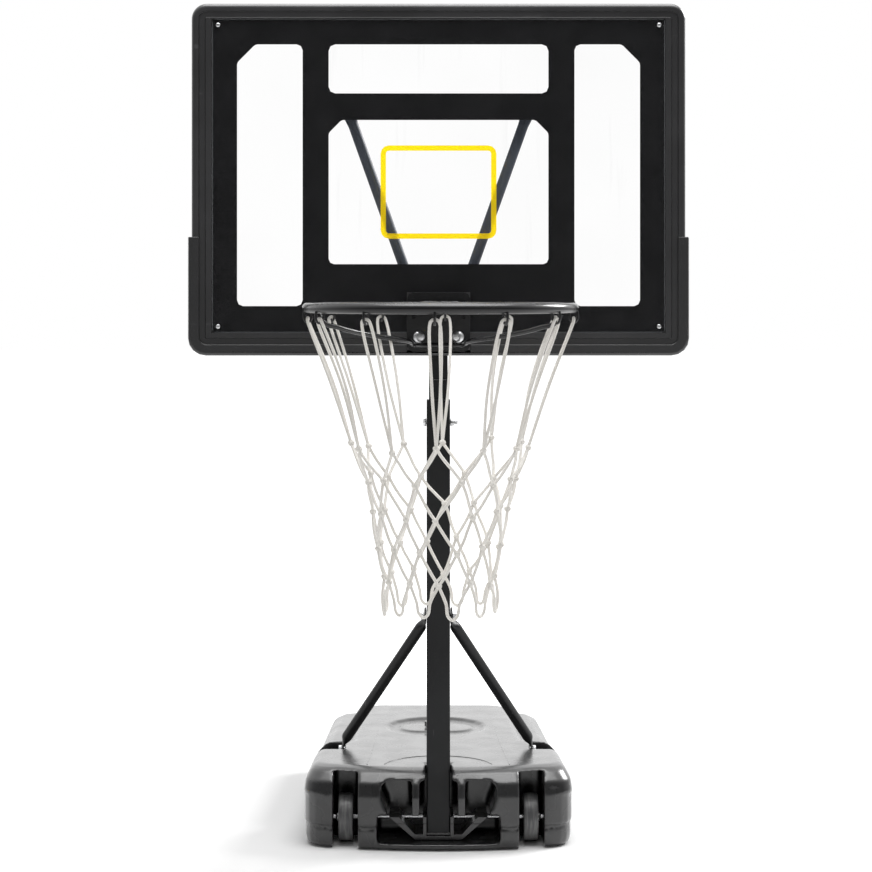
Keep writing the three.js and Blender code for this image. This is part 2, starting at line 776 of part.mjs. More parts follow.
function windowOutlines(grow) {
  const side = (sign) => {
    const outer = sideWindowOuter + grow;
    const inner = sideWindowInner - grow;
    const bottom = windowBottom - grow;
    const top = windowTop + grow;
    const corners = [
      [sign * inner, bottom],
      [sign * outer, bottom],
      [sign * outer, top - sideWindow.chamfer],
      [sign * (outer - sideWindow.chamfer), top],
      [sign * inner, top],
    ];
    const soft = sideWindow.corner;
    return rounded(sign > 0 ? corners : corners.reverse(), soft, 2);
  };
  const half = midWindowHalf + grow;
  const upperBottom = windowTop - topWindow.height;
  const upper = rounded(
    rectangle(-half, upperBottom - grow, half, windowTop + grow),
    topWindow.corner,
    2,
  );
  const top = midWindowTop + grow;
  const bottom = midWindowBottom - grow;
  const middle = rounded([
    [-half, bottom],
    [half, bottom],
    [half, top - midWindow.chamfer],
    [half - midWindow.chamfer, top],
    [-half + midWindow.chamfer, top],
    [-half, top - midWindow.chamfer],
  ], midWindow.corner, 2);
  return [side(-1), side(1), upper, middle];
}

// The sheet and the print share one outline, notched at the foot for the rim bracket
function sheetOutline(grow) {
  const half = sheetHalf + grow;
  const bottom = board.bottom + board.sheetBottom - grow;
  const top = board.bottom + board.height - board.sheetTop + grow;
  const notch = plate.width / 2 + 2 * fit - grow;
  const notchTop = plate.top + 2 * fit - grow;
  const soft = board.sheetCorner;
  return rounded([
    [-half, bottom], [-notch, bottom], [-notch, notchTop], [notch, notchTop], [notch, bottom],
    [half, bottom], [half, top], [-half, top],
  ], [soft, 0, 0, 0, 0, soft, soft, soft], 2);
}

function screwPlaces() {
  const half = sheetHalf - screw.inset;
  const bottom = board.bottom + board.sheetBottom + screw.inset;
  const top = board.bottom + board.height - board.sheetTop - screw.inset;
  return [
    ['left_top', -half, top],
    ['right_top', half, top],
    ['left_bottom', -half, bottom],
    ['right_bottom', half, bottom],
  ];
}

function boltHoles(radius, backY, depth) {
  return bothSides((side) => bar(
    radius + boreClearance,
    depth + 2 * overrun,
    [side * rimBolt.x, backY - depth - overrun, rimBolt.z],
    'y',
  ));
}

function makeBoardFrame() {
  const round = board.edge;
  const shell = stackForward([
    [boardFrontY, boardOutline(round)],
    [boardFrontY + round / 4, boardOutline(round / 3)],
    [boardFrontY + round, boardOutline(0)],
    [boardBackY - board.backEdge, boardOutline(0)],
    [boardBackY, boardOutline(board.backEdge)],
  ]);
  const recess = slab(sheetOutline(fit), boardFrontY + board.recess, board.recess + overrun);
  const windows = windowOutlines(board.windowGrow)
    .map((outline) => slab(outline, boardBackY + overrun, board.depth + 2 * overrun));
  const bosses = bothSides((side) => bar(
    board.bossRadius,
    board.boss + fit,
    [side * strutTopX, boardBackY - fit, strutTopZ],
    'y',
  ));
  const strutHoles = bothSides((side) => bar(
    heightBolt.radius + boreClearance,
    board.depth,
    [side * strutTopX, boardBackY - board.depth / 2, strutTopZ],
    'y',
  ));
  const screwHoles = screwPlaces().map(([, x, z]) => bar(
    screw.shank + boreClearance,
    screw.length + 2 * overrun,
    [x, boardFrontY, z],
    'y',
  ));
  return cut(
    join(shell, ...bosses),
    recess,
    ...windows,
    ...strutHoles,
    ...screwHoles,
    ...boltHoles(rimBolt.radius, boardBackY, board.depth),
  );
}

function makeSheet() {
  const back = boardFrontY + board.recess - print.thickness - 2 * fit;
  const holes = screwPlaces().map(([, x, z]) => bar(
    screw.shank + boreClearance,
    board.recess + 2 * overrun,
    [x, boardFrontY - overrun, z],
    'y',
  ));
  return cut(slab(sheetOutline(0), back, board.sheetThickness), ...holes);
}

function makePrint() {
  const back = boardFrontY + board.recess - fit;
  const holes = screwPlaces().map(([, x, z]) => bar(
    screw.shank + boreClearance,
    board.recess + 2 * overrun,
    [x, boardFrontY - overrun, z],
    'y',
  ));
  return cut(slab(sheetOutline(0), back, print.thickness, windowOutlines(0)), ...holes);
}

function makeTarget() {
  const back = boardFrontY + board.recess - fit;
  const half = midWindowHalf - target.sideMargin;
  const low = midWindowBottom + target.endMargin;
  const high = midWindowTop - target.endMargin;
  const line = target.line;
  const outer = rounded(rectangle(-half, low, half, high), target.corner, 3);
  const inner = rounded(
    rectangle(-half + line, low + line, half - line, high - line),
    target.corner - line,
    3,
  );
  return slab(outer, back, print.thickness, [inner]);
}

function makeScrew(x, z) {
  const seat = boardFrontY + board.recess - print.thickness - board.sheetThickness - 3 * fit;
  return join(
    bar(screw.headRadius, screw.headHeight, [x, seat - screw.headHeight, z], 'y'),
    bar(screw.shank, screw.length + fit, [x, seat - fit, z], 'y', hexSides),
  );
}

// The edge pad is a channel round the lower edge and the lower part of both sides
function makeEdgePad() {
  const half = board.width / 2 + pad.side;
  const bottom = board.bottom - pad.side;
  const top = board.bottom + pad.top;
  const outline = (inset) => rounded(
    rectangle(-half + inset, bottom + inset, half - inset, top),
    [pad.corner - inset, pad.corner - inset, 0, 0],
  );
  const front = boardFrontY - fit - pad.lip;
  const back = boardBackY + fit + pad.lip;
  const shell = stackForward([
    [front, outline(pad.lip * 2)],
    [front + pad.lip, outline(pad.lip / 2)],
    [front + 3 * pad.lip, outline(0)],
    [back - 2 * pad.lip, outline(0)],
    [back, outline(pad.lip)],
  ]);
  const innerHalf = board.width / 2 + fit;
  const groove = slab(
    rounded(
      rectangle(-innerHalf, board.bottom - fit, innerHalf, top + overrun),
      [board.corner, board.corner, 0, 0],
    ),
    boardBackY + fit,
    board.depth + 2 * fit,
  );
  const lipHalf = board.width / 2 - pad.lipReach;
  const middle = slab(
    rounded(
      rectangle(-lipHalf, board.bottom + pad.lipReach, lipHalf, top + overrun),
      [board.corner / 2, board.corner / 2, 0, 0],
    ),
    back + overrun,
    board.depth + 2 * (pad.lip + fit + overrun),
  );
  const plateHalf = Math.max(plate.width, mountPlate.width) / 2 + fit;
  const notch = block(
    [-plateHalf, front - overrun, board.bottom - fit],
    [plateHalf, back + overrun, top],
  );
  return cut(shell, groove, middle, notch);
}

// V strut from the head pole's side to a boss on the frame's cross bar
function makeStrut(side) {
  const footX = side * (slidePole.width / 2 + fit + strut.tab / 2);
  const topY = boardBackY + board.boss + fit + strut.tab / 2;
  const runY = topY - strut.tab / 2 + strut.radius;
  const footY = poleY;
  const run = new THREE.Vector2(side * strutTopX - footX, strutTopZ - strut.footZ).normalize();
  const tab = strut.tabLength / 2;
  const path = [
    [footX, footY, strut.footZ - tab],
    [footX, footY, strut.footZ + tab],
    [side * strutTopX + run.x * tab, topY, strutTopZ + run.y * tab],
    [side * strutTopX - run.x * tab, topY, strutTopZ - run.y * tab],
  ];
  const stations = tubeStations(path, [1, 0, 0], [0, 1, 0], strut);
  stations[2].at[1] = footY;
  stations[3].at[1] = runY;
  stations[3].deep = [1, 0, 0];
  stations[2].at[0] += side * (strut.radius - strut.tab / 2);
  const body = crimpedTube(reorder(stations));
  const holes = [
    crossHole(heightBolt.radius, strut.footZ, slidePole.width + 4 * strut.radius, poleY),
    bar(
      heightBolt.radius + boreClearance,
      4 * strut.radius,
      [side * strutTopX, topY - 2 * strut.radius, strutTopZ],
      'y',
    ),
  ];
  return cut(body, ...holes);
}

// The last two stations of a strut are flat across Y, so they start from the round part's own frame
function reorder(stations) {
  return stations.map((station, i) => {
    const flatAcross = i >= stations.length - 2;
    if (!flatAcross) return station;
    return { at: station.at, deep: [1, 0, 0], half: station.thin, thin: station.half };
  });
}

function makeStrutTopBolt(side) {
  const seat = boardBackY + board.boss + strut.tab + 2 * fit;
  const length = strut.tab + board.boss + board.depth / 3;
  return join(
    bar(hexRadius(boltHead.width), boltHead.height, [side * strutTopX, seat, strutTopZ], 'y', hexSides),
    bar(heightBolt.radius, length + fit, [side * strutTopX, seat - length, strutTopZ], 'y'),
  );
}

// Rim ring with its welded net hooks
function hookAngle(i) {
  return 2 * Math.PI * (i / hook.count + hookTurnShare) - Math.PI / 2;
}

function polar(angle, radius, z) {
  return [radius * Math.cos(angle), rimY + radius * Math.sin(angle), z];
}

function makeRing() {
  const profile = [];
  for (let i = 0; i <= tubeSides; i += 1) {
    const angle = (2 * Math.PI * (i + 1 / 2)) / tubeSides;
    profile.push(new THREE.Vector2(
      rim.centreRadius + rim.rod * Math.cos(angle),
      rim.rod * Math.sin(angle),
    ));
  }
  const lathe = new THREE.LatheGeometry(profile, rim.steps);
  lathe.rotateX(Math.PI / 2);
  lathe.translate(0, rimY, rim.height);
  const hooks = [];
  for (let i = 0; i < hook.count; i += 1) {
    const angle = hookAngle(i);
    const corners = [
      polar(angle, rim.centreRadius - hook.width / 2, rim.height - rim.rod / 2),
      polar(angle, rim.centreRadius - hook.width / 2, hookZ),
      polar(angle, rim.centreRadius + hook.width / 2, hookZ),
      polar(angle, rim.centreRadius + hook.width / 2, rim.height - rim.rod / 2),
    ];
    hooks.push(wire(corners, hook.wire, tubeSides / 2 + 1));
  }
  return join(solid(lathe), ...hooks);
}

// A bent wire: one skin with a ring of points at each bend
function wire(corners, radius, sides) {
  const points = corners.map((corner) => new THREE.Vector3(...corner));
  const directions = points.slice(1).map((point, i) => point.clone().sub(points[i]).normalize());
  let across = new THREE.Vector3(1, 0, 0);
  if (Math.abs(directions[0].x) > 1 / Math.SQRT2) across = new THREE.Vector3(0, 1, 0);
  across.addScaledVector(directions[0], -across.dot(directions[0])).normalize();
  const rings = points.map((point, i) => {
    const before = directions[Math.max(i - 1, 0)];
    const after = directions[Math.min(i, directions.length - 1)];
    const tangent = before.clone().add(after).normalize();
    const bends = i > 0 && i < points.length - 1;
    if (bends) across.applyQuaternion(new THREE.Quaternion().setFromUnitVectors(before, tangent));
    const other = tangent.clone().cross(across).normalize();
    const miter = 1 / Math.max(tangent.dot(after), 1 / 2);
    const bendAxis = before.clone().cross(after);
    const inBend = bendAxis.lengthSq() > fit * fit
      ? bendAxis.cross(tangent).normalize()
      : null;
    const ring = [];
    for (let k = 0; k < sides; k += 1) {
      const angle = (2 * Math.PI * k) / sides;
      const offset = across.clone().multiplyScalar(radius * Math.cos(angle))
        .addScaledVector(other, radius * Math.sin(angle));
      if (inBend) offset.addScaledVector(inBend, offset.dot(inBend) * (miter - 1));
      ring.push(point.clone().add(offset));
    }
    if (bends) across.applyQuaternion(new THREE.Quaternion().setFromUnitVectors(tangent, after));
    return ring;
  });
  return skin(rings);
}

// Bracket of bent plate: a face on the board, a tongue to the ring, and two side flanges
function makeRimBracket() {
  const bottom = plate.top - plate.height;
  const face = slab(
    rounded(rectangle(-plate.width / 2, bottom, plate.width / 2, plate.top), plate.corner, 2),
    plateY,
    plate.thickness,
  );
  const tongueTop = rim.height + rim.rod;
  const tip = rimY + rim.centreRadius + rim.rod - tongue.overlap;
  const outline = rounded([
    [-tongue.rootWidth / 2, plateFrontY + fit],
    [-tongue.tipWidth / 2, tip],
    [tongue.tipWidth / 2, tip],
    [tongue.rootWidth / 2, plateFrontY + fit],
  ], 0);
  const top = stack([[tongueTop - tongue.thickness, outline], [tongueTop, outline]]);
  const flanges = bothSides((side) => {
    const rootX = side * (tongue.rootWidth / 2 - tongue.thickness / 2);
    const tipX = side * (tongue.tipWidth / 2 - tongue.thickness / 2);
    const half = tongue.thickness / 2;
    const low = tongueTop - tongue.flange;
    const rootRing = [
      [rootX - half, plateFrontY + fit, low], [rootX + half, plateFrontY + fit, low],
      [rootX + half, plateFrontY + fit, tongueTop - half],
      [rootX - half, plateFrontY + fit, tongueTop - half],
    ];
    const tipLow = tongueTop - tongue.tipFlange;
    const tipRing = [
      [tipX - half, tip, tipLow], [tipX + half, tip, tipLow],
      [tipX + half, tip, tongueTop - half], [tipX - half, tip, tongueTop - half],
    ];
    return skin([tipRing, rootRing].map((ring) => ring.map((point) => new THREE.Vector3(...point))));
  });
  const profile = [];
  const reach = rim.rod + fit;
  for (let i = 0; i <= tubeSides; i += 1) {
    const angle = (2 * Math.PI * (i + 1 / 2)) / tubeSides;
    profile.push(new THREE.Vector2(rim.centreRadius + reach * Math.cos(angle), reach * Math.sin(angle)));
  }
  const room = new THREE.LatheGeometry(profile, rim.steps);
  room.rotateX(Math.PI / 2);
  room.translate(0, rimY, rim.height);
  return cut(
    join(face, top, ...flanges),
    solid(room),
    ...boltHoles(rimBolt.radius, plateY, plate.thickness),
  );
}

function makeRimStay() {
  const weldY = plateFrontY - fit - rimStay.rod;
  const low = rim.height - rimStay.drop;
  const mirrored = (side, [x, y, z]) => [side * x, y, z];
  const turn = (share) => 2 * Math.PI * share;
  const route = stayShares.map(([angle, radius, drop]) => polar(
    turn(angle),
    rim.centreRadius * radius,
    rim.height - rimStay.drop * drop,
  ));
  const [[endShare]] = stayShares.slice(-1);
  const end = polar(turn(endShare), rim.centreRadius, rim.height - rim.rod - rimStay.rod);
  const half = [[rimStay.footX, weldY - rimStay.bow, low], ...route, end];
  const points = [
    ...half.map((point) => mirrored(-1, point)).reverse(),
    [0, weldY, low],
    ...half,
  ].map((point) => new THREE.Vector3(...point));
  const path = new THREE.CatmullRomCurve3(points, false, 'centripetal');
  const section = new THREE.Shape();
  for (let i = 0; i < hexSides; i += 1) {
    const angle = (2 * Math.PI * i) / hexSides;
    const x = rimStay.rod * Math.cos(angle);
    const y = rimStay.rod * Math.sin(angle);
    if (i === 0) section.moveTo(x, y);
    else section.lineTo(x, y);
  }
  const settings = { steps: rimStay.steps, bevelEnabled: false, extrudePath: path };
  return solid(new THREE.ExtrudeGeometry(section, settings));
}

function makeMountPlate() {
  const half = mountPlate.width / 2;
  const top = mountPlate.bottom + mountPlate.height;
  const outline = rounded(rectangle(-half, mountPlate.bottom, half, top), plate.corner, 2);
  return cut(
    slab(outline, mountPlateY, mountPlate.thickness),
    ...boltHoles(rimBolt.radius, mountPlateY, mountPlate.thickness),
  );
}

function makeRimBolt(side) {
  const x = side * rimBolt.x;
  const seat = plateFrontY - fit;
  const length = board.depth + plate.thickness + mountPlate.thickness + nut.height + shankPast;
  return join(
    bar(rimBolt.headRadius, rimBolt.headHeight, [x, seat - rimBolt.headHeight, rimBolt.z], 'y'),
    bar(rimBolt.radius, length + fit, [x, seat - fit, rimBolt.z], 'y'),
  );
}

// Cord net: twelve long loops, then rows of diamonds, then hanging loops
function makeNet() {
  const parts = [];
  const step = (2 * Math.PI) / hook.count;
  const sides = 4;
  const rows = netRowShares.map(([drop, reach]) => ({
    z: hookZ - net.length * drop,
    radius: rim.centreRadius * reach,
  }));
  const knotAt = (row, i) => {
    const angle = hookAngle(i) + (row % 2 ? step / 2 : 0);
    return polar(angle, rows[row].radius, rows[row].z);
  };
  const strand = (from, to) => parts.push(rod(from, to, net.cord, sides));
  const archZ = hookZ + hook.wire + net.cord + fit;
  for (let i = 0; i < hook.count; i += 1) {
    const angle = hookAngle(i);
    const spread = net.loopHalf / rim.centreRadius;
    bothSides((side) => {
      parts.push(wire([
        knotAt(0, i),
        polar(
          angle + side * spread * net.legSpreadShare,
          (rim.centreRadius + rows[0].radius) / 2 - net.legBow,
          (archZ + rows[0].z) / 2,
        ),
        polar(angle + side * spread, rim.centreRadius, archZ - net.cord),
        polar(angle + (side * spread) / 2, rim.centreRadius, archZ + net.cord),
        polar(angle - (side * spread) / 4, rim.centreRadius, archZ + net.cord),
      ], net.cord, sides));
    });
  }
  rows.forEach((row, index) => {
    for (let i = 0; i < hook.count; i += 1) {
      const knot = new THREE.OctahedronGeometry(net.knot);
      knot.translate(...knotAt(index, i));
      parts.push(solid(knot));
      if (index + 1 < rows.length) {
        const before = index % 2 ? i : i - 1;
        strand(knotAt(index, i), knotAt(index + 1, before));
        strand(knotAt(index, i), knotAt(index + 1, before + 1));
      }
    }
  });
  const last = rows.length - 1;
  for (let i = 0; i < hook.count; i += 1) {
    const from = knotAt(last, i);
    const to = knotAt(last, i + 1);
    const angle = hookAngle(i) + step / 2;
    const low = rows[last].z - net.loopSag;
    const spread = net.loopHalf / rows[last].radius;
    parts.push(wire([
      from,
      polar(angle - spread, rows[last].radius, low),
      polar(angle + spread, rows[last].radius, low),
      to,
    ], net.cord, sides));
  }
  return join(...parts);
}

// The scene: one named mesh for each piece
function piece(name, manifold, finish, group) {
  const material = new THREE.MeshStandardMaterial(finishes[finish]);
  material.name = finish;
  const mesh = new THREE.Mesh(geometryOf(manifold), material);
  mesh.name = name;
  group.add(mesh);
  return mesh;
}

const hoop = new THREE.Group();
const base = new THREE.Group();
const mast = new THREE.Group();
const head = new THREE.Group();
hoop.add(base, mast, head);

piece('base_tank', makeTank(), 'mouldedBlack', base);
piece('water_ballast', cavity(fit), 'water', base);
piece('fill_cap', makeCap(), 'mouldedBlack', base);
piece('fill_cap_seal', makeSeal(), 'mouldedBlack', base);
piece('pole_cradle', makeCradle(), 'mouldedBlack', base);
piece('wheel_axle', makeAxle(), 'zinc', base);
['left', 'right'].forEach((name, index) => {
  const side = index ? 1 : -1;
  const hub = piece(`wheel_${name}`, makeWheel(), 'wheelGrey', base);
  hub.position.set(side * wheelX, axleY, wheel.height);
  piece(`axle_nut_${name}`, axleEnd(side), 'zinc', base);
  piece(`brace_${name}`, makeBrace(side), 'paintedBlack', mast);
  piece(`brace_foot_bolt_${name}`, makeBraceFootBolt(side), 'zinc', mast);
  piece(`v_strut_${name}`, makeStrut(side), 'paintedBlack', head);
  piece(`v_strut_top_bolt_${name}`, makeStrutTopBolt(side), 'zinc', head);
  piece(`rim_bolt_${name}`, makeRimBolt(side), 'zinc', head);
  const rimNut = hexNut(
    nut.width,
    nut.height,
    rimBolt.radius,
    [side * rimBolt.x, mountPlateY + fit, rimBolt.z],
    'y',
  );
  piece(`rim_nut_${name}`, rimNut, 'zinc', head);
});

piece('lower_pole', makeLowerPole(), 'paintedBlack', mast);
const footPlug = makePoleCap(lowerPole.width, lowerPole.wall, lowerPole.bottom, -1);
piece('pole_foot_plug', footPlug, 'mouldedBlack', mast);
const mouthOuter = lowerPole.width - 2 * lowerPole.wall - 2 * fit;
const mouthInner = slidePole.width + 2 * fit;
const mouthBush = makeSleeve(lowerPole.top - bush.length, lowerPole.top, mouthInner, mouthOuter);
piece('mouth_bush', mouthBush, 'mouldedBlack', mast);
const braceSpan = lowerPole.width + 2 * (brace.tab + 2 * fit);
piece('brace_cross_bolt', crossBolt(braceSpan, brace.topZ, shankPast), 'zinc', mast);
const braceNutAt = [braceSpan / 2 + fit, poleY, brace.topZ];
const braceNut = hexNut(nut.width, nut.height, heightBolt.radius, braceNutAt, 'x');
piece('brace_cross_nut', braceNut, 'zinc', mast);
piece('height_bolt', crossBolt(lowerPole.width + fit, heightBolt.z, clampPast), 'zinc', mast);
piece('height_wing_nut', makeWingNut(), 'zinc', mast);

piece('slide_pole', makeSlidePole(), 'paintedBlack', head);
const glide = makeSleeve(slidePole.bottom + fit, slidePole.bottom + bush.glide, mouthInner, mouthOuter);
piece('foot_glide', glide, 'mouldedBlack', head);
piece('head_spigot', makeSpigot(), 'zinc', head);
piece('head_pole', makeHeadPole(), 'paintedBlack', head);
piece('head_plug', makePoleCap(slidePole.width, slidePole.wall, headPole.top, 1), 'mouldedBlack', head);
const strutSpan = slidePole.width + 2 * (strut.tab + 2 * fit);
piece('strut_cross_bolt', crossBolt(strutSpan, strut.footZ, shankPast), 'zinc', head);
const strutNutAt = [strutSpan / 2 + fit, poleY, strut.footZ];
const strutNut = hexNut(nut.width, nut.height, heightBolt.radius, strutNutAt, 'x');
piece('strut_cross_nut', strutNut, 'zinc', head);

piece('mount_plate', makeMountPlate(), 'paintedBlack', head);
piece('board_frame', makeBoardFrame(), 'mouldedBlack', head);
piece('clear_panel', makeSheet(), 'clear', head);
piece('printed_border', makePrint(), 'printBlack', head);
piece('printed_target', makeTarget(), 'printYellow', head);
screwPlaces().forEach(([name, x, z]) => piece(`panel_screw_${name}`, makeScrew(x, z), 'zinc', head));
piece('edge_pad', makeEdgePad(), 'mouldedBlack', head);

piece('rim_ring', makeRing(), 'paintedBlack', head);
piece('rim_bracket', makeRimBracket(), 'paintedBlack', head);
piece('rim_stay', makeRimStay(), 'paintedBlack', head);
piece('net', makeNet(), 'cordWhite', head);

export default hoop;
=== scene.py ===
"""Looks for a portable poolside basketball hoop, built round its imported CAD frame, in metres."""
import math
import random

import bmesh
import bpy
from mathutils import Matrix, Vector


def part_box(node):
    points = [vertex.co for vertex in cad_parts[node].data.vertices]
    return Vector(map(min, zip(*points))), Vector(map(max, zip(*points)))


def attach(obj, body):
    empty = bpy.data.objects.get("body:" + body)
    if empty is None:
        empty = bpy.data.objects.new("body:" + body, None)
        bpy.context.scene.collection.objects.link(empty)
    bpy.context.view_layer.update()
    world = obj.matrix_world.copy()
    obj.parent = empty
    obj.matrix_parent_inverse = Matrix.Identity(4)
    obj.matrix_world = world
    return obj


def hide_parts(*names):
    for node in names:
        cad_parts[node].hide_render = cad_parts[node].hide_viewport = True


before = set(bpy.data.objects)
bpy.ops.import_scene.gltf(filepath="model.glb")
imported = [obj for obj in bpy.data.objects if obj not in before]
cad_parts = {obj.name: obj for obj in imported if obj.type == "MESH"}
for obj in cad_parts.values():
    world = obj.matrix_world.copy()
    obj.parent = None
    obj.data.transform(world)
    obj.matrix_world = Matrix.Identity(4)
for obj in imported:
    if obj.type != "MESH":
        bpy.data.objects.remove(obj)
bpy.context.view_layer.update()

# Water tank: one blow-moulded shell of black polyethylene with soft edges, a pinched seam line
# all round and a dished deck. It stands on the ground and holds every other piece up.


class Value:
    """A shader socket that adds its Math nodes when it opens a sum or a product."""

    def __init__(self, socket):
        self.socket = socket

    def combine(self, operation, first, second):
        tree = self.socket.id_data
        node = tree.nodes.new("ShaderNodeMath")
        node.operation = operation
        for place, end in zip(node.inputs, (first, second)):
            if isinstance(end, Value):
                tree.links.new(end.socket, place)
            else:
                place.default_value = end
        return Value(node.outputs[0])

    def __add__(self, other):
        return self.combine("ADD", self, other)

    def __sub__(self, other):
        return self.combine("SUBTRACT", self, other)

    def __mul__(self, other):
        return self.combine("MULTIPLY", self, other)

    def __abs__(self):
        return self.combine("ABSOLUTE", self, 0.0)


class Finish:
    """The material of one real finish, with what varies over it."""

    def __init__(self, name, **looks):
        self.material = bpy.data.materials.new(name)
        self.material.use_nodes = True
        self.tree = self.material.node_tree
        self.shader = self.tree.nodes["Principled BSDF"]
        self.join(self.shader, {key.replace("_", " "): value for key, value in looks.items()})
        self.place = self.node("ShaderNodeTexCoord", out="Object")
        self.normal = None

    def join(self, node, sockets):
        for key, value in sockets.items():
            if isinstance(value, Value):
                self.tree.links.new(value.socket, node.inputs[key])
            else:
                node.inputs[key].default_value = value

    def node(self, kind, settings=None, sockets=None, out=0):
        made = self.tree.nodes.new(kind)
        for key, value in (settings or {}).items():
            setattr(made, key, value)
        self.join(made, sockets or {})
        return Value(made.outputs[out])

    def stretched(self, scale, turn=(0, 0, 0)):
        """Object coordinates scaled by axis, for a grain that runs one way."""
        return self.node(
            "ShaderNodeMapping", None, {"Vector": self.place, "Scale": scale, "Rotation": turn}
        )

    def noise(self, scale, detail=2.0, vector=None):
        sockets = {"Vector": vector or self.place, "Scale": scale, "Detail": detail}
        return self.node("ShaderNodeTexNoise", None, sockets)

    def between(self, value, low, high, start=0.0, end=1.0):
        """The value from low to high, spread over start to end and held there."""
        sockets = {
            "Value": value, "From Min": low, "From Max": high, "To Min": start, "To Max": end
        }
        return self.node("ShaderNodeMapRange", None, sockets)

    def patchy(self, scale, detail=2.0, start=0.0, end=1.0):
        """A value that wanders over the surface from start to end."""
        return self.between(self.noise(scale, detail), 0.3, 0.7, start, end)

    def mix(self, share, first, second):
        """A colour between two others."""
        sockets = {0: share}
        for key, colour in ((6, first), (7, second)):
            sockets[key] = colour if isinstance(colour, Value) else (*colour, 1)
        return self.node("ShaderNodeMix", {"data_type": "RGBA"}, sockets, out=2)

    def bump(self, height, distance, strength=1.0):
        sockets = {"Height": height, "Distance": distance, "Strength": strength}
        if self.normal:
            sockets["Normal"] = self.normal
        self.normal = self.node("ShaderNodeBump", None, sockets)
        self.join(self.shader, {"Normal": self.normal})

    def paint(self, colour=None, roughness=None):
        if colour is not None:
            self.join(self.shader, {"Base Color": colour})
        if roughness is not None:
            self.join(self.shader, {"Roughness": roughness})


def moulded_plastic(name, dark, pale, gloss, grain=0.00012, swell=0.0012):
    """Black polyethylene with a fine grain, slow swells and pale handling scuffs."""
    finish = Finish(name, IOR=1.45, Coat_Weight=1.0, Coat_IOR=1.45, Coat_Roughness=0.28)
    tone = finish.between(finish.noise(5, 4), 0.35, 0.68)
    scratch = finish.noise(1, 3, finish.stretched((9, 140, 60), (0, 0, 0.6)))
    scuff = finish.between(scratch, 0.66, 0.78) * finish.between(finish.noise(14), 0.5, 0.62)
    speck = finish.between(finish.noise(420, 1), 0.7, 0.78)
    worn = finish.mix(tone, dark, pale)
    dusty = finish.mix(scuff * 0.35 + speck * 0.15, worn, (0.16, 0.16, 0.165))
    finish.paint(dusty, finish.patchy(22, 3, gloss, gloss + 0.14) + scuff * 0.12)
    finish.bump(finish.noise(6, 1), swell, 0.5)
    finish.bump(finish.noise(900, 2), grain, 0.6)
    return finish


def copy_of(node):
    """A bmesh of a CAD node with its loose triangles merged into whole faces."""
    bm = bmesh.new()
    bm.from_mesh(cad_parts[node].data)
    bmesh.ops.remove_doubles(bm, verts=bm.verts, dist=0.00001)
    bmesh.ops.dissolve_limit(bm, angle_limit=math.radians(0.5), verts=bm.verts, edges=bm.edges)
    return bm


def shown(bm, name, finish, soft=40.0):
    """A new object from a bmesh, smooth but for the edges sharper than soft degrees."""
    mesh = bpy.data.meshes.new(name)
    bm.to_mesh(mesh)
    bm.free()
    mesh.materials.append(finish.material)
    mesh.shade_smooth()
    mesh.set_sharp_from_angle(angle=math.radians(soft))
    piece = bpy.data.objects.new(name, mesh)
    bpy.context.scene.collection.objects.link(piece)
    return piece


def baked(piece):
    """Applies the piece's modifiers to its mesh."""
    bpy.context.view_layer.update()
    graph = bpy.context.evaluated_depsgraph_get()
    mesh = bpy.data.meshes.new_from_object(piece.evaluated_get(graph))
    piece.modifiers.clear()
    piece.data = mesh


def eased(piece, width, segments=2, above=35.0):
    """Rounds the piece's edges with a live bevel."""
    edge = piece.modifiers.new("eased_edge", "BEVEL")
    edge.width = width
    edge.segments = segments
    edge.limit_method = "ANGLE"
    edge.angle_limit = math.radians(above)
    piece.data.shade_smooth()
    shade = piece.modifiers.new("even_shade", "WEIGHTED_NORMAL")
    shade.keep_sharp = True
    return piece


def fitted(piece, body, slot, *nodes):
    """The piece moves with its body and stands for its CAD nodes."""
    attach(piece, body)
    if nodes:
        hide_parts(*nodes)


black_shell = moulded_plastic("black_shell", (0.006, 0.006, 0.0064), (0.013, 0.013, 0.0138), 0.2)
seam_z, seam_half = 0.04, 0.0016
height = black_shell.node("ShaderNodeSeparateXYZ", None, {0: black_shell.place}, out=2)
black_shell.bump(black_shell.between(abs(height - seam_z), 0.0, seam_half), 0.0012, 0.9)
shell = copy_of("base_tank")
water_low, water_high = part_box("water_ballast")
neck_reach, neck_y, gap = 0.018, 0.06, 0.001
inner_wall = [
    vert
    for vert in shell.verts
    if all(
        low - gap < place < high + gap
        for low, place, high in zip(water_low, vert.co, water_high)
    )
    and math.hypot(vert.co.x, vert.co.y - neck_y) > neck_reach
]
bmesh.ops.delete(shell, geom=inner_wall, context="VERTS")
bmesh.ops.holes_fill(shell, edges=shell.edges)
tank_shell = shown(shell, "tank_shell", black_shell)
blown = tank_shell.modifiers.new("blown_shape", "REMESH")
blown.mode = "VOXEL"
blown.voxel_size = 0.0034
blown.use_smooth_shade = True
soften = tank_shell.modifiers.new("soft_edges", "SMOOTH")
soften.factor = 0.5
soften.iterations = 4
baked(tank_shell)
fitted(tank_shell, "base", "moulded_black", "base_tank")

# Beads on the deck: thin raised lines of the same black plastic, left by the mould. Two long ones
# run beside the dish and a shallow arc lies in front of it.


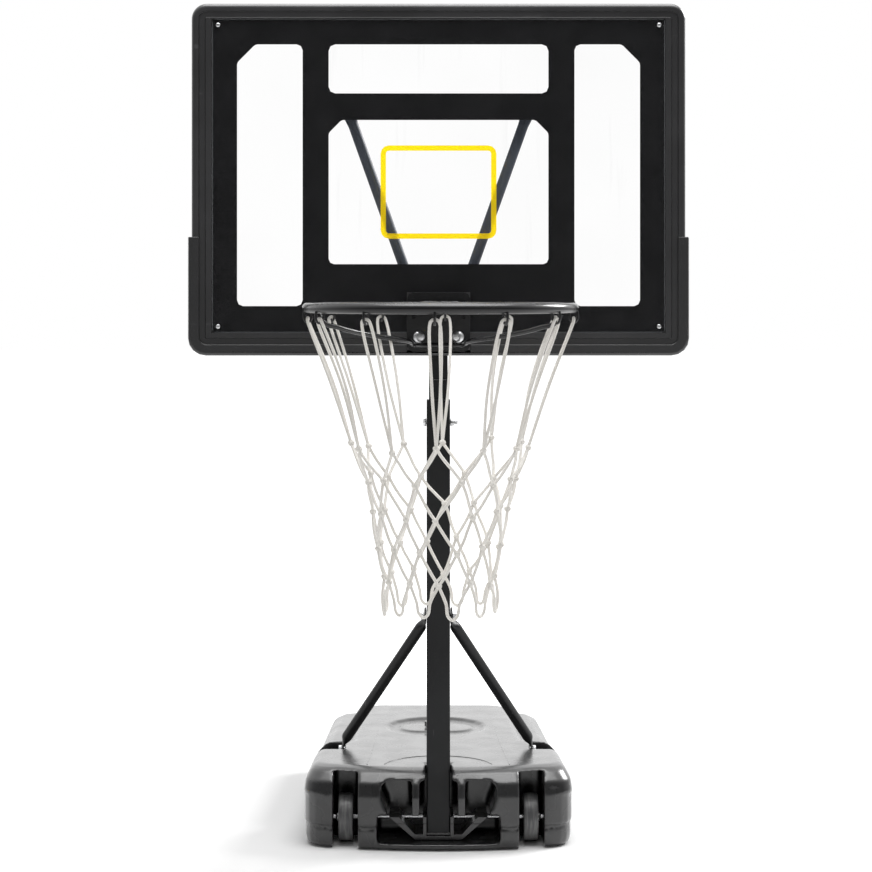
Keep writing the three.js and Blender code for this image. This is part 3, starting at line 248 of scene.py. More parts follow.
def wires(name, finish, lines, radius, closed=False, sides=3, steps=8):
    """A mesh of round wires or cords, each bent smoothly through its own points."""
    curve = bpy.data.curves.new(name, "CURVE")
    curve.dimensions = "3D"
    curve.bevel_depth = radius
    curve.bevel_resolution = sides
    curve.resolution_u = steps
    curve.use_fill_caps = not closed
    for line in lines:
        spline = curve.splines.new("BEZIER")
        spline.bezier_points.add(len(line) - 1)
        spline.use_cyclic_u = closed
        for point, place in zip(spline.bezier_points, line):
            point.co = place
            point.handle_left_type = point.handle_right_type = "AUTO"
    drawn = bpy.data.objects.new(name, curve)
    bpy.context.scene.collection.objects.link(drawn)
    bpy.context.view_layer.update()
    graph = bpy.context.evaluated_depsgraph_get()
    mesh = bpy.data.meshes.new_from_object(drawn.evaluated_get(graph))
    bpy.data.objects.remove(drawn)
    bm = bmesh.new()
    bm.from_mesh(mesh)
    bpy.data.meshes.remove(mesh)
    bmesh.ops.remove_doubles(bm, verts=bm.verts, dist=0.000001)
    bmesh.ops.recalc_face_normals(bm, faces=bm.faces)
    return shown(bm, name, finish, 60)


deck_z, bead = 0.1349, 0.0009
beads = [
    [(side * x, y, deck_z) for x, y in ((0.122, -0.29), (0.113, -0.1), (0.108, 0.03))]
    for side in (-1, 1)
]
arc_y, arc_reach = -0.31, 0.095
arc = [math.radians(turn) for turn in range(15, 166, 15)]
beads.append([
    (arc_reach * math.cos(turn), arc_y + arc_reach * math.sin(turn), deck_z) for turn in arc
])
fitted(wires("deck_beads", black_shell, beads, bead), "base", "moulded_black")

# Filler cap: a black screw cap with a ribbed edge over the neck in the middle of the dish, on
# a rubber seal. The water is a clear solid inside the shell.


def as_packed(node, name, finish, width, body, slot, segments=2, soft=40.0, above=35.0):
    """A piece in its CAD node's own shape, with its edges rounded by width."""
    piece = eased(shown(copy_of(node), name, finish, soft), width, segments, above)
    fitted(piece, body, slot, node)


as_packed("fill_cap", "filler_cap", black_shell, 0.0005, "cap", "moulded_black")
as_packed("fill_cap_seal", "cap_seal", black_shell, 0.0003, "base", "moulded_black")
clear_water = Finish("clear_water", Base_Color=(0.45, 0.65, 0.75, 1), Roughness=0.05)
clear_water.paint(clear_water.mix(clear_water.noise(3), (0.42, 0.62, 0.73), (0.5, 0.7, 0.79)))
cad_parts["water_ballast"].data.materials[0] = clear_water.material

# Pole cradle: a black moulded trough between the recess walls. The foot of the mast drops into
# it and the axle passes through both.
as_packed("pole_cradle", "cradle", black_shell, 0.0016, "base", "moulded_black", 3)

# Axle and its end nuts: one bright zinc-plated 8 mm rod from well to well. A round cap nut is
# pushed on outside each wheel.


def turned(bm, profile, turn, at, steps=40):
    """Spins a profile of (radius, distance along) and sets its axis where it belongs."""
    old = set(bm.verts)
    line = [bm.verts.new((radius, 0, along)) for radius, along in profile]
    edges = [bm.edges.new(pair) for pair in zip(line, line[1:])]
    bmesh.ops.spin(
        bm, geom=line + edges, cent=(0, 0, 0), axis=(0, 0, 1), angle=2 * math.pi, steps=steps,
        use_merge=True,
    )
    bmesh.ops.remove_doubles(bm, verts=[v for v in bm.verts if v not in old], dist=0.000001)
    new = [v for v in bm.verts if v not in old]
    bmesh.ops.transform(bm, matrix=Matrix.Translation(at) @ turn, verts=new)
    bmesh.ops.recalc_face_normals(bm, faces=bm.faces)


to_right = Matrix.Rotation(math.radians(90), 4, "Y")
to_left = Matrix.Rotation(math.radians(-90), 4, "Y")
to_rear = Matrix.Rotation(math.radians(-90), 4, "X")
to_front = Matrix.Rotation(math.radians(90), 4, "X")

zinc = Finish("zinc_plate", Metallic=1.0)
blotch = zinc.between(zinc.noise(55, 3), 0.35, 0.7)
plated = zinc.mix(blotch, (0.8, 0.81, 0.82), (0.58, 0.58, 0.59))
zinc.paint(plated, zinc.patchy(130, start=0.24, end=0.42))
zinc.bump(zinc.noise(700), 0.00006, 0.5)

axle_y, axle_z, axle_half, axle_radius, tip = -0.283, 0.045, 0.1897, 0.004, 0.0008
cap_x = 0.1708
rod = bmesh.new()
turned(
    rod,
    [(0, -axle_half), (axle_radius - tip, -axle_half), (axle_radius, -axle_half + tip),
     (axle_radius, axle_half - tip), (axle_radius - tip, axle_half), (0, axle_half)],
    to_right, (0, axle_y, axle_z),
)
fitted(shown(rod, "axle_rod", zinc), "base", "zinc_steel", "wheel_axle")
for name, turn, side in (("left", to_left, -1), ("right", to_right, 1)):
    nut = bmesh.new()
    turned(
        nut,
        [(0.0043, 0), (0.0072, 0), (0.008, 0.0008), (0.008, 0.0022), (0.0072, 0.0034),
         (0.006, 0.0038), (0.0056, 0.005), (0.0043, 0.005), (0.0043, 0)],
        turn, (side * cap_x, axle_y, axle_z),
    )
    fitted(shown(nut, f"axle_cap_{name}", zinc), "base", "zinc_steel", f"axle_nut_{name}")

# Wheels: moulded grey-black plastic, with a crowned tread, a thin ribbed web and a long hub.
# Each turns freely on the axle rod in its well at the front of the tank.
wheel_plastic = Finish("wheel_plastic")
tread_marks = wheel_plastic.noise(1, 3, wheel_plastic.stretched((260, 30, 30)))
dirt = wheel_plastic.between(tread_marks, 0.4, 0.7)
rubbed = wheel_plastic.mix(dirt, (0.06, 0.06, 0.062), (0.15, 0.15, 0.147))
wheel_plastic.paint(rubbed, wheel_plastic.patchy(60, start=0.3, end=0.5))
wheel_plastic.bump(wheel_plastic.noise(260, 4), 0.0003, 0.6)
tread, half_wide, web, hub, bore = 0.04, 0.0125, 0.0035, 0.012, 0.0046
wheel_x, rib_count, rib_thick, rib_tall, rib_reach = 0.158, 6, 0.003, 0.02, 0.0215
both_sides = (("left", -1), ("right", 1))
for name, side in both_sides:
    wheel_at = (side * wheel_x, axle_y, axle_z)
    wheel = bmesh.new()
    turned(
        wheel,
        [(bore, -half_wide), (hub - 0.001, -half_wide), (hub, -half_wide + 0.001), (hub, -web),
         (0.0305, -web), (0.0315, -half_wide + 0.001), (0.0325, -half_wide), (0.0375, -half_wide),
         (0.0386, -0.012), (0.0393, -0.0105), (0.0398, -0.006), (tread, 0), (0.0398, 0.006),
         (0.0393, 0.0105), (0.0386, 0.012), (0.0375, half_wide), (0.0325, half_wide),
         (0.0315, half_wide - 0.001), (0.0305, web), (hub, web), (hub, half_wide - 0.001),
         (hub - 0.001, half_wide), (bore, half_wide), (bore, -half_wide)],
        to_right, wheel_at, 64,
    )
    for rib in range(rib_count):
        arm = bmesh.ops.create_cube(wheel, size=1)["verts"]
        bmesh.ops.scale(wheel, vec=(2 * half_wide - 0.006, rib_thick, rib_tall), verts=arm)
        bmesh.ops.translate(wheel, vec=(0, 0, rib_reach), verts=arm)
        spoke = Matrix.Rotation(2 * math.pi * rib / rib_count, 4, "X")
        bmesh.ops.transform(wheel, matrix=Matrix.Translation(wheel_at) @ spoke, verts=arm)
    piece = eased(shown(wheel, f"road_wheel_{name}", wheel_plastic), 0.0005)
    fitted(piece, f"{name}_wheel", "wheel_plastic", f"wheel_{name}")

# Lower pole: 40 mm square steel tube with rounded corners in black powder coat. Its foot sits
# in the cradle and a black bush in its mouth guides the sliding pole.
pole_y, tube_corner = -0.294, 0.003


def powder_coat(
    name, dark=(0.009, 0.0092, 0.0098), pale=(0.015, 0.0155, 0.0165), gloss=0.28, ior=1.32
):
    """Powder coat: slight orange peel, slow changes of gloss and a few fine scratches."""
    finish = Finish(name, IOR=ior)
    tone = finish.patchy(7, 3)
    scratch = finish.between(finish.noise(1, 2, finish.stretched((260, 260, 7))), 0.72, 0.76)
    rare = finish.between(finish.noise(11, 1), 0.56, 0.66)
    coat = finish.mix(scratch * rare * 0.7, finish.mix(tone, dark, pale), (0.17, 0.17, 0.175))
    finish.paint(coat, finish.patchy(30, 2, gloss, gloss + 0.12))
    finish.bump(finish.noise(520, 1), 0.00007, 0.7)
    return finish


def square_tube(width, wall, bottom, top):
    """A square tube of the mast with rounded corners and an open bore."""
    bm = bmesh.new()
    bmesh.ops.create_cube(bm, size=1)
    bmesh.ops.scale(bm, vec=(width, width, top - bottom), verts=bm.verts)
    bmesh.ops.translate(bm, vec=(0, pole_y, (top + bottom) / 2), verts=bm.verts)
    upright = [e for e in bm.edges if abs(e.verts[0].co.z - e.verts[1].co.z) > width / 2]
    bmesh.ops.bevel(
        bm, geom=upright, offset=tube_corner, segments=6, profile=0.5, affect="EDGES",
        material=-1,
    )
    ends = [f for f in bm.faces if abs(f.normal.z) > 0.9]
    bmesh.ops.delete(bm, geom=ends, context="FACES_ONLY")
    bmesh.ops.recalc_face_normals(bm, faces=bm.faces)
    bmesh.ops.solidify(bm, geom=bm.faces[:], thickness=wall)
    bmesh.ops.recalc_face_normals(bm, faces=bm.faces)
    return bm


black_coat = powder_coat("black_coat")
lower = shown(square_tube(0.04, 0.0018, 0.024, 0.761), "lower_tube", black_coat)
fitted(lower, "base", "painted_steel", "lower_pole")
as_packed("pole_foot_plug", "foot_plug", black_shell, 0.0008, "base", "moulded_black")
as_packed("mouth_bush", "pole_bushing", black_shell, 0.0003, "base", "moulded_black")

# Sliding pole: 32 mm tube with a slot for the height bolt in both sides, a glide at its foot
# and a zinc sleeve inside its top that joins it to the head pole. A black plug closes that one.
slider_wide, slider_wall = 0.032, 0.0016
slot_half, slot_low, slot_high = 0.0045, 0.4375, 0.7265


def carved(piece, cutter, how="DIFFERENCE"):
    """Cuts the cutter out of the piece, or joins it on, and removes the cutter."""
    step = piece.modifiers.new("carve", "BOOLEAN")
    step.operation = how
    step.solver = "EXACT"
    step.object = cutter
    baked(piece)
    bpy.data.objects.remove(cutter)


def slab(corners, soft, back, depth, segments=5, name="cutter", finish=black_coat):
    """An outline in the X-Z plane with rounded corners and a depth towards -Y."""
    bm = bmesh.new()
    face = bm.faces.new([bm.verts.new((x, back, z)) for x, z in corners])
    grown = bmesh.ops.extrude_face_region(bm, geom=[face])["geom"]
    moved = [part for part in grown if isinstance(part, bmesh.types.BMVert)]
    bmesh.ops.translate(bm, vec=(0, -depth, 0), verts=moved)
    if soft:
        along = [e for e in bm.edges if abs(e.verts[0].co.y - e.verts[1].co.y) > depth / 2]
        bmesh.ops.bevel(
            bm, geom=along, offset=soft, segments=segments, profile=0.5, affect="EDGES", material=-1
        )
    bmesh.ops.recalc_face_normals(bm, faces=bm.faces)
    return shown(bm, name, finish)


def oblong(left, bottom, right, top):
    return [(left, bottom), (right, bottom), (right, top), (left, top)]


slider = shown(square_tube(slider_wide, slider_wall, 0.402, 0.795), "slider_tube", black_coat)
slot_line = oblong(-slot_half, slot_low, slot_half, slot_high)
slot_cut = slab(slot_line, slot_half * 0.98, 0.04, 0.08, 8)
sideways = Matrix.Rotation(math.radians(90), 4, "Z")
slot_cut.data.transform(Matrix.Translation((0, pole_y, 0)) @ sideways)
carved(slider, slot_cut)
slider.data.set_sharp_from_angle(angle=math.radians(40))
fitted(slider, "mast", "painted_steel", "slide_pole")
as_packed("foot_glide", "slider_glide", black_shell, 0.0003, "mast", "moulded_black")
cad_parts["head_spigot"].data.materials[0] = zinc.material
head_tube = shown(square_tube(slider_wide, slider_wall, 0.7953, 0.96), "head_tube", black_coat)
fitted(head_tube, "mast", "painted_steel", "head_pole")
as_packed("head_plug", "head_cap", black_shell, 0.001, "mast", "moulded_black", 3)

# Cross bolts and nuts: zinc-plated hexagon bolts through the poles, with a chamfered head and a
# cut thread at the far end.


def thread(radius, start, end, pitch=0.00125, depth=0.0004):
    """The profile of a bolt's shank with a thread from start to end."""
    line = [(radius, 0)]
    turns = int((end - start) / pitch)
    for turn in range(turns):
        along = start + turn * pitch
        line += [(radius, along), (radius - depth, along + pitch / 2)]
    return line + [(radius, start + turns * pitch), (radius - depth, end), (0, end)]


def hexagon_bolt(name, length, threaded, turn, at):
    """An M8 bolt, with its head's underside at the given place."""
    radius, corner, tall = 0.004, 0.013 / math.sqrt(3), 0.0055
    bm = bmesh.new()
    turned(bm, [(0, -tall / 2)] + thread(radius, length - threaded, length), turn, at, 24)
    head = bmesh.ops.create_cone(
        bm, cap_ends=True, segments=6, radius1=corner, radius2=corner, depth=tall
    )["verts"]
    rims = [e for e in bm.edges if e.verts[0] in head and e.verts[1] in head]
    bevelled = bmesh.ops.bevel(
        bm, geom=rims, offset=0.0005, segments=2, profile=0.5, affect="EDGES", material=-1
    )
    head = {v for face in bevelled["faces"] for v in face.verts} | {v for v in head if v.is_valid}
    bmesh.ops.translate(bm, vec=(0, 0, -tall / 2), verts=list(head))
    bmesh.ops.transform(bm, matrix=Matrix.Translation(at) @ turn, verts=list(head))
    return shown(bm, name, zinc)


brace_top, clamp_z, strut_foot = 0.391, 0.722, 0.885
brace_y, brace_z, foot_bolt_x = -0.116, 0.127, 0.1706
strut_x, strut_seat, strut_z = 0.156, -0.305, 1.2585
bolts = [
    ("brace_bolt", "brace_cross_bolt", "base", 0.0595, 0.016, to_right,
     (-0.0249, pole_y, brace_top)),
    ("clamp_bolt", "height_bolt", "base", 0.0533, 0.02, to_right,
     (-0.02045, pole_y, clamp_z)),
    ("strut_bolt", "strut_cross_bolt", "mast", 0.0512, 0.016, to_right,
     (-0.0209, pole_y, strut_foot)),
    ("foot_bolt_left", "brace_foot_bolt_left", "base", 0.0297, 0.012, to_right,
     (-foot_bolt_x, brace_y, brace_z)),
    ("foot_bolt_right", "brace_foot_bolt_right", "base", 0.0297, 0.012, to_left,
     (foot_bolt_x, brace_y, brace_z)),
    ("strut_top_bolt_left", "v_strut_top_bolt_left", "mast", 0.018, 0.012, to_front,
     (-strut_x, strut_seat, strut_z)),
    ("strut_top_bolt_right", "v_strut_top_bolt_right", "mast", 0.018, 0.012, to_front,
     (strut_x, strut_seat, strut_z)),
]
for name, node, body, length, threaded, turn, at in bolts:
    fitted(hexagon_bolt(name, length, threaded, turn, at), body, "zinc_steel", node)
for name, node, body in (
    ("brace_nut", "brace_cross_nut", "base"), ("strut_nut", "strut_cross_nut", "mast"),
    ("bracket_nut_left", "rim_nut_left", "mast"), ("bracket_nut_right", "rim_nut_right", "mast"),
):
    as_packed(node, name, zinc, 0.0005, body, "zinc_steel")

# Wing nut: cast zinc, a round boss with two ears that clamps the mast at the chosen height.
# It turns on the height bolt.
wing_at, ear_size = (0.0206, pole_y, clamp_z), (0.0082, 0.0052, 0.0035)
ear_x, ear_y, ear_lean = 0.0062, 0.0076, 14
wing = bmesh.new()
turned(
    wing,
    [(0.0045, 0), (0.0059, 0), (0.0065, 0.0006), (0.0058, 0.006), (0.0051, 0.007),
     (0.0045, 0.007), (0.0045, 0)],
    to_right, wing_at,
)
for side in (-1, 1):
    ear = bmesh.ops.create_cube(wing, size=1)["verts"]
    bmesh.ops.scale(wing, vec=ear_size, verts=ear)
    lean = Matrix.Rotation(math.radians(ear_lean * side), 4, "Z")
    out = Matrix.Translation((ear_x, side * ear_y, 0))
    bmesh.ops.transform(wing, matrix=Matrix.Translation(wing_at) @ out @ lean, verts=ear)
wing_nut = eased(shown(wing, "wing_clamp_nut", zinc), 0.0012, 3)
fitted(wing_nut, "wing_nut", "zinc_steel", "height_wing_nut")

# Braces and V struts: 19 mm round tube in black powder coat with both ends pressed flat where
# a bolt passes. The braces hold the lower pole to the deck and the struts hold the board.


def crimped_tube(name, stations, finish, sides=24):
    """A tube through stations of (place, depth direction, half width, half depth)."""
    bm = bmesh.new()
    rings = []
    for i, (place, deep, half, thin) in enumerate(stations):
        before = Vector(stations[max(i - 1, 0)][0])
        after = Vector(stations[min(i + 1, len(stations) - 1)][0])
        along = (after - before).normalized()
        deep = Vector(deep)
        deep = (deep - deep.dot(along) * along).normalized()
        wide = deep.cross(along).normalized()
        pose = Matrix((wide * half, deep * thin, along)).transposed().to_4x4()
        pose.translation = place
        ring = bmesh.ops.create_circle(bm, segments=sides, radius=1, matrix=pose)["verts"]
        rings.append(ring)
    loops = [[e for e in bm.edges if e.verts[0] in set(ring)] for ring in rings]
    for first, second in zip(loops, loops[1:]):
        bmesh.ops.bridge_loops(bm, edges=first + second)
    for end in (loops[0], loops[-1]):
        bmesh.ops.edgeloop_fill(bm, edges=end)
    bmesh.ops.recalc_face_normals(bm, faces=bm.faces)
    return shown(bm, name, finish)


def crimped_line(start, start_bend, end_bend, end, flat):
    """Stations from one pressed tab through the round tube to the other tab."""
    tube, tab_half, tab_wide, bend = 0.0095, 0.002, 0.0119, 0.018
    swell_steps = ((0.0, 0.0), (0.25, 0.12), (0.5, 0.5), (0.75, 0.88), (1.0, 1.0))
    run = (end_bend - start_bend).normalized()
    stations = [(start, flat, tab_wide * 0.8, tab_half * 0.9)]
    stations.append((start.lerp(start_bend, 0.08), flat, tab_wide, tab_half))
    for base, way in ((start_bend, 1), (end_bend, -1)):
        swell = [
            (
                base + run * way * bend * share,
                flat,
                tab_wide + (tube - tab_wide) * rise,
                tab_half + (tube - tab_half) * rise,
            )
            for share, rise in swell_steps
        ]
        stations += swell if way > 0 else swell[::-1]
    stations.append((end.lerp(end_bend, 0.08), flat, tab_wide, tab_half))
    stations.append((end, flat, tab_wide * 0.8, tab_half * 0.9))
    return stations


brace_top_x, brace_foot_x = 0.0223, 0.1683
run = Vector((0, brace_y - pole_y, brace_z - brace_top)).normalized()
for name, side in both_sides:
    top = Vector((side * brace_top_x, pole_y, brace_top))
    foot = Vector((side * brace_foot_x, brace_y, brace_z))
    line = crimped_line(
        top - run * 0.011, top + run * 0.011, foot - run * 0.016, foot + run * 0.01, (1, 0, 0)
    )
    tube = crimped_tube(f"brace_tube_{name}", line, black_coat)
    fitted(tube, "base", "painted_steel", f"brace_{name}")
# The V struts' coat is a lighter bluish grey than the black tubes: a painted reflection of the
# clear sheet in front of them.
strut_coat_painted_reflection = powder_coat("strut_coat_painted_reflection", (0.055, 0.063, 0.08), (0.08, 0.09, 0.112), 0.34)
for name, side in both_sides:
    as_packed(
        f"v_strut_{name}", f"v_tube_{name}", strut_coat_painted_reflection, 0.0004, "mast", "painted_steel", 1, 60, 60
    )

# Mount plate: a flat square of painted steel between the board and the head pole. The bracket
# bolts draw the board against it.
as_packed("mount_plate", "backing_plate", black_coat, 0.0006, "mast", "painted_steel")

# Backboard frame: black moulded plastic with a rounded rim, a shallow channel round the front
# and four open windows. Its back is recessed inside a lip, with raised bosses where bolts pass.
board_plastic = moulded_plastic(
    "board_plastic", (0.013, 0.013, 0.0138), (0.026, 0.026, 0.0275), 0.3, 0.00008, 0.0004
)
board_half, board_low, board_high = 0.418, 0.843, 1.433
board_back, board_front, board_deep, board_corner = -0.3136, -0.3436, 0.03, 0.026
board = slab(
    oblong(-board_half, board_low, board_half, board_high), board_corner, board_back, board_deep,
    12, "board_moulding", board_plastic,
)


def broad_face(bm, way):
    """The largest face that looks along Y: to the rear for 1, to the front for -1."""
    return max((f for f in bm.faces if f.normal.y * way > 0.99), key=lambda f: f.calc_area())


def stepped(bm, face, steps):
    """Insets the face by each step's width and moves it along Y by the step's shift."""
    for width, shift in steps:
        bmesh.ops.inset_region(bm, faces=[face], thickness=width, depth=0, use_even_offset=True)
        bmesh.ops.translate(bm, vec=(0, shift, 0), verts=list(face.verts))


bm = bmesh.new()
bm.from_mesh(board.data)
for way, round_off, segments, steps in (
    (-1, 0.0075, 6, ((0.0045, 0), (0.0015, 0.003), (0.0095, 0), (0.0015, -0.003))),
    (1, 0.003, 3, ((0.012, 0), (0.003, -0.004))),
):
    bmesh.ops.bevel(
        bm, geom=list(broad_face(bm, way).edges), offset=round_off, segments=segments,
        profile=0.5, affect="EDGES", material=-1,
    )
    stepped(bm, broad_face(bm, way), steps)
bm.to_mesh(board.data)
bm.free()
seat = slab(oblong(-0.066, 0.85, 0.066, 0.962), 0.008, board_back, 0.012)
carved(board, seat, how="UNION")
boss_line = [(0, -0.008), (0.015, -0.008), (0.014, 0.0036), (0.0134, 0.004), (0, 0.004)]
for side in (-1, 1):
    boss = bmesh.new()
    turned(boss, boss_line, to_rear, (side * strut_x, board_back, strut_z))
    carved(board, shown(boss, "boss", board_plastic), how="UNION")
sheet_half, sheet_low, sheet_high = 0.3838, 0.8757, 1.4073
notch_half, notch_top = 0.0533, 0.9443
sheet_corners = [
    (-sheet_half, sheet_low), (-notch_half, sheet_low),
    (-notch_half, notch_top), (notch_half, notch_top),
    (notch_half, sheet_low), (sheet_half, sheet_low),
    (sheet_half, sheet_high), (-sheet_half, sheet_high),
]
carved(board, slab(sheet_corners, 0, board_front + 0.006, 0.012))
grow = 0.004
low, high = 0.921 - grow, 1.364 + grow
inner, outer, side_cut = 0.230 - grow, 0.341 + grow, 0.031
side_line = (
    (inner, low), (outer, low), (outer, high - side_cut), (outer - side_cut, high), (inner, high)
)
mid_low, mid_high, mid_half, mid_cut = 0.992 - grow, 1.236 + grow, 0.186 + grow, 0.022
mid_window = [
    (-mid_half, mid_low), (mid_half, mid_low),
    (mid_half, mid_high - mid_cut), (mid_half - mid_cut, mid_high),
    (-mid_half + mid_cut, mid_high), (-mid_half, mid_high - mid_cut),
]
windows = [[(side * x, z) for x, z in side_line] for side in (-1, 1)]
windows += [oblong(-mid_half, 1.281 - grow, mid_half, high), mid_window]
for outline in windows:
    carved(board, slab(outline, 0.0075, board_back + 0.02, 0.07))
eased(board, 0.0012, 3)
fitted(board, "mast", "moulded_black", "board_frame")

# Clear sheet with its print: 3 mm polycarbonate screwed into the frame's recess. Its back is
# printed gloss black round the windows, with a plain yellow shooter's square in the middle. A thin
# pale grey line along the sheet's edge is a painted highlight where the edge catches the light.
clear_sheet = Finish("clear_sheet", Base_Color=(0.02, 0.021, 0.022, 1), IOR=1.58)
haze = clear_sheet.between(clear_sheet.noise(4, 4), 0.4, 0.75, 0.006, 0.02)
wiped = clear_sheet.noise(1, 3, clear_sheet.stretched((60, 1, 4), (0, 0.5, 0)))
swirl = clear_sheet.between(wiped, 0.62, 0.8)
clear_sheet.paint(roughness=clear_sheet.patchy(16, 3, 0.03, 0.12))
clear_sheet.join(clear_sheet.shader, {"Alpha": haze + swirl * 0.02})
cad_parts["clear_panel"].data.materials[0] = clear_sheet.material


def screen_print(name, dark, pale, **looks):
    """Screen-print ink seen through the sheet, and its slightly mottled colour."""
    finish = Finish(name, IOR=1.3, **looks)
    colour = finish.mix(finish.patchy(18, 3), dark, pale)
    finish.paint(colour, finish.patchy(40, start=0.3, end=0.42))
    return finish, colour


black_ink, inked = screen_print("black_ink", (0.007, 0.007, 0.0078), (0.0105, 0.0105, 0.0115))
# Painted highlight: a thin pale grey line along the sheet's edge, mixed into the black ink.
highlight_width, highlight_blur, sheet_mid = 0.0019, 0.0003, (sheet_low + sheet_high) / 2
across, upright = (
    black_ink.node("ShaderNodeSeparateXYZ", None, {0: black_ink.place}, out=axis)
    for axis in (0, 2)
)
side_band, level_band = (
    black_ink.between(abs(away), half - highlight_width - highlight_blur, half - highlight_width)
    for away, half in ((across, sheet_half), (upright - sheet_mid, sheet_high - sheet_mid))
)
painted_edge_highlight = side_band.combine("MAXIMUM", side_band, level_band)
black_ink.paint(black_ink.mix(painted_edge_highlight * 0.8, inked, (0.12, 0.124, 0.13)))
yellow_ink, _ = screen_print(
    "yellow_ink", (0.96, 0.74, 0.004), (0.98, 0.79, 0.008), Transmission_Weight=0.5
)
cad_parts["printed_border"].data.materials[0] = black_ink.material
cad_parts["printed_target"].data.materials[0] = yellow_ink.material

# Panel screws: zinc pan-head screws with a cross slot. One at each corner holds the sheet down
# in the frame's recess.
screw_tall, slot_deep, slot_long, slot_wide = 0.0016, 0.0011, 0.0019, 0.00045
for name in ("left_top", "right_top", "left_bottom", "right_bottom"):
    lowest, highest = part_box(f"panel_screw_{name}")
    centre = (lowest + highest) / 2
    screw = bmesh.new()
    turned(
        screw,
        [(0, -screw_tall), (0.0018, -screw_tall), (0.0032, -0.0012), (0.0039, -0.0005), (0.004, 0),
         (0.0018, 0.0002)] + thread(0.0018, 0.003, 0.0178, 0.0012, 0.0005)[1:],
        to_rear, (centre.x, lowest.y + screw_tall, centre.z), 28,
    )
    head = shown(screw, f"pan_screw_{name}", zinc)
    for wide, tall in ((slot_long, slot_wide), (slot_wide, slot_long)):
        arm = oblong(centre.x - wide, centre.z - tall, centre.x + wide, centre.z + tall)
        carved(head, slab(arm, 0, lowest.y + slot_deep, 0.003))
    head.data.set_sharp_from_angle(angle=math.radians(40))
    fitted(head, "mast", "zinc_steel", f"panel_screw_{name}")

# Edge pad: a channel of soft black plastic. It is pushed over the board's lower edge and the
# lower part of its sides.
soft_black = moulded_plastic(
    "soft_black", (0.007, 0.007, 0.0078), (0.014, 0.014, 0.0153), 0.42, 0.0001, 0.0006
)
as_packed("edge_pad", "edge_channel", soft_black, 0.0018, "mast", "moulded_black", 4)

# Ring: 16 mm round steel bent to a circle, with twelve wire loops welded underneath for the
# net, all in black powder coat.
rim_y, rim_z, ring_reach, ring_rod = -0.6206, 0.921, 0.209, 0.008
ring = bmesh.new()
lay = Matrix.Translation((ring_reach, 0, 0)) @ Matrix.Rotation(math.radians(90), 4, "X")
section = bmesh.ops.create_circle(ring, segments=24, radius=ring_rod, matrix=lay)["verts"]
bmesh.ops.spin(
    ring, geom=section + ring.edges[:], cent=(0, 0, 0), axis=(0, 0, 1), angle=2 * math.pi,
    steps=144, use_merge=True,
)
bmesh.ops.remove_doubles(ring, verts=ring.verts, dist=0.000001)
bmesh.ops.translate(ring, vec=(0, rim_y, rim_z), verts=ring.verts)
bmesh.ops.recalc_face_normals(ring, faces=ring.faces)
ring_coat = powder_coat("ring_coat", (0.004, 0.004, 0.0045), (0.008, 0.008, 0.0088), 0.17, 1.55)
fitted(shown(ring, "ring_hoop", ring_coat), "mast", "painted_steel", "rim_ring")


def round_rim(angle, reach, z):
    return (reach * math.cos(angle), rim_y + reach * math.sin(angle), z)


hook_count, hook_wire, hook_z, hook_turn = 12, 0.002, 0.898, -0.008
hook_angles = [
    2 * math.pi * (i / hook_count + hook_turn) - math.pi / 2 for i in range(hook_count)
]
hook_line = (
    (-0.0055, rim_z - 0.005), (-0.0062, hook_z + 0.008), (-0.0035, hook_z + 0.0015), (0, hook_z),
    (0.0035, hook_z + 0.0015), (0.0062, hook_z + 0.008), (0.0055, rim_z - 0.005),
)
hooks = [[round_rim(angle, ring_reach + out, z) for out, z in hook_line] for angle in hook_angles]
fitted(wires("net_hooks", ring_coat, hooks, hook_wire, steps=5), "mast", "painted_steel")

# Ring bracket: one bent steel plate, bolted flat on the board, with a tongue and two folded
# sides that reach out to the ring, and a weld bead where they meet.
as_packed("rim_bracket", "bent_bracket", ring_coat, 0.0014, "mast", "painted_steel", 3, 50)
jitter = random.Random(5)
weld_reach, weld_span, weld_steps = ring_reach + ring_rod * 0.55, 0.15, 22
weld = [
    round_rim(
        math.pi / 2 - weld_span + 2 * weld_span * i / weld_steps,
        weld_reach + 0.0004 * jitter.uniform(-1, 1),
        rim_z + ring_rod * 0.86 + 0.0003 * jitter.uniform(-1, 1),
    )
    for i in range(weld_steps + 1)
]
fitted(wires("ring_weld", ring_coat, [weld], 0.0019, steps=3), "mast", "painted_steel")

# Ring stay: an 8 mm steel rod that runs from the ring's sides down and back to the bracket's
# foot, where it is welded.
stay_drop, stay_rod, stay_foot, stay_bow, stay_end = 0.066, 0.004, 0.033, 0.006, 0.061
plate_front, clearance = -0.3479, 0.0003
weld_y = plate_front - clearance - stay_rod
stay_line = ((0.207, 0.96, 0.86), (0.148, 0.9, 0.7), (0.084, 0.9, 0.5), (stay_end, 0.975, 0.34))
route = [
    (stay_foot, weld_y - stay_bow, rim_z - stay_drop),
    *(
        round_rim(2 * math.pi * angle, ring_reach * reach, rim_z - stay_drop * drop)
        for angle, reach, drop in stay_line
    ),
    round_rim(2 * math.pi * stay_end, ring_reach, rim_z - ring_rod - stay_rod),
]
stay = [(-x, y, z) for x, y, z in reversed(route)] + [(0, weld_y, rim_z - stay_drop)] + route
stay_wire = wires("stay_rod", ring_coat, [stay], stay_rod, sides=5, steps=12)
fitted(stay_wire, "mast", "painted_steel", "rim_stay")

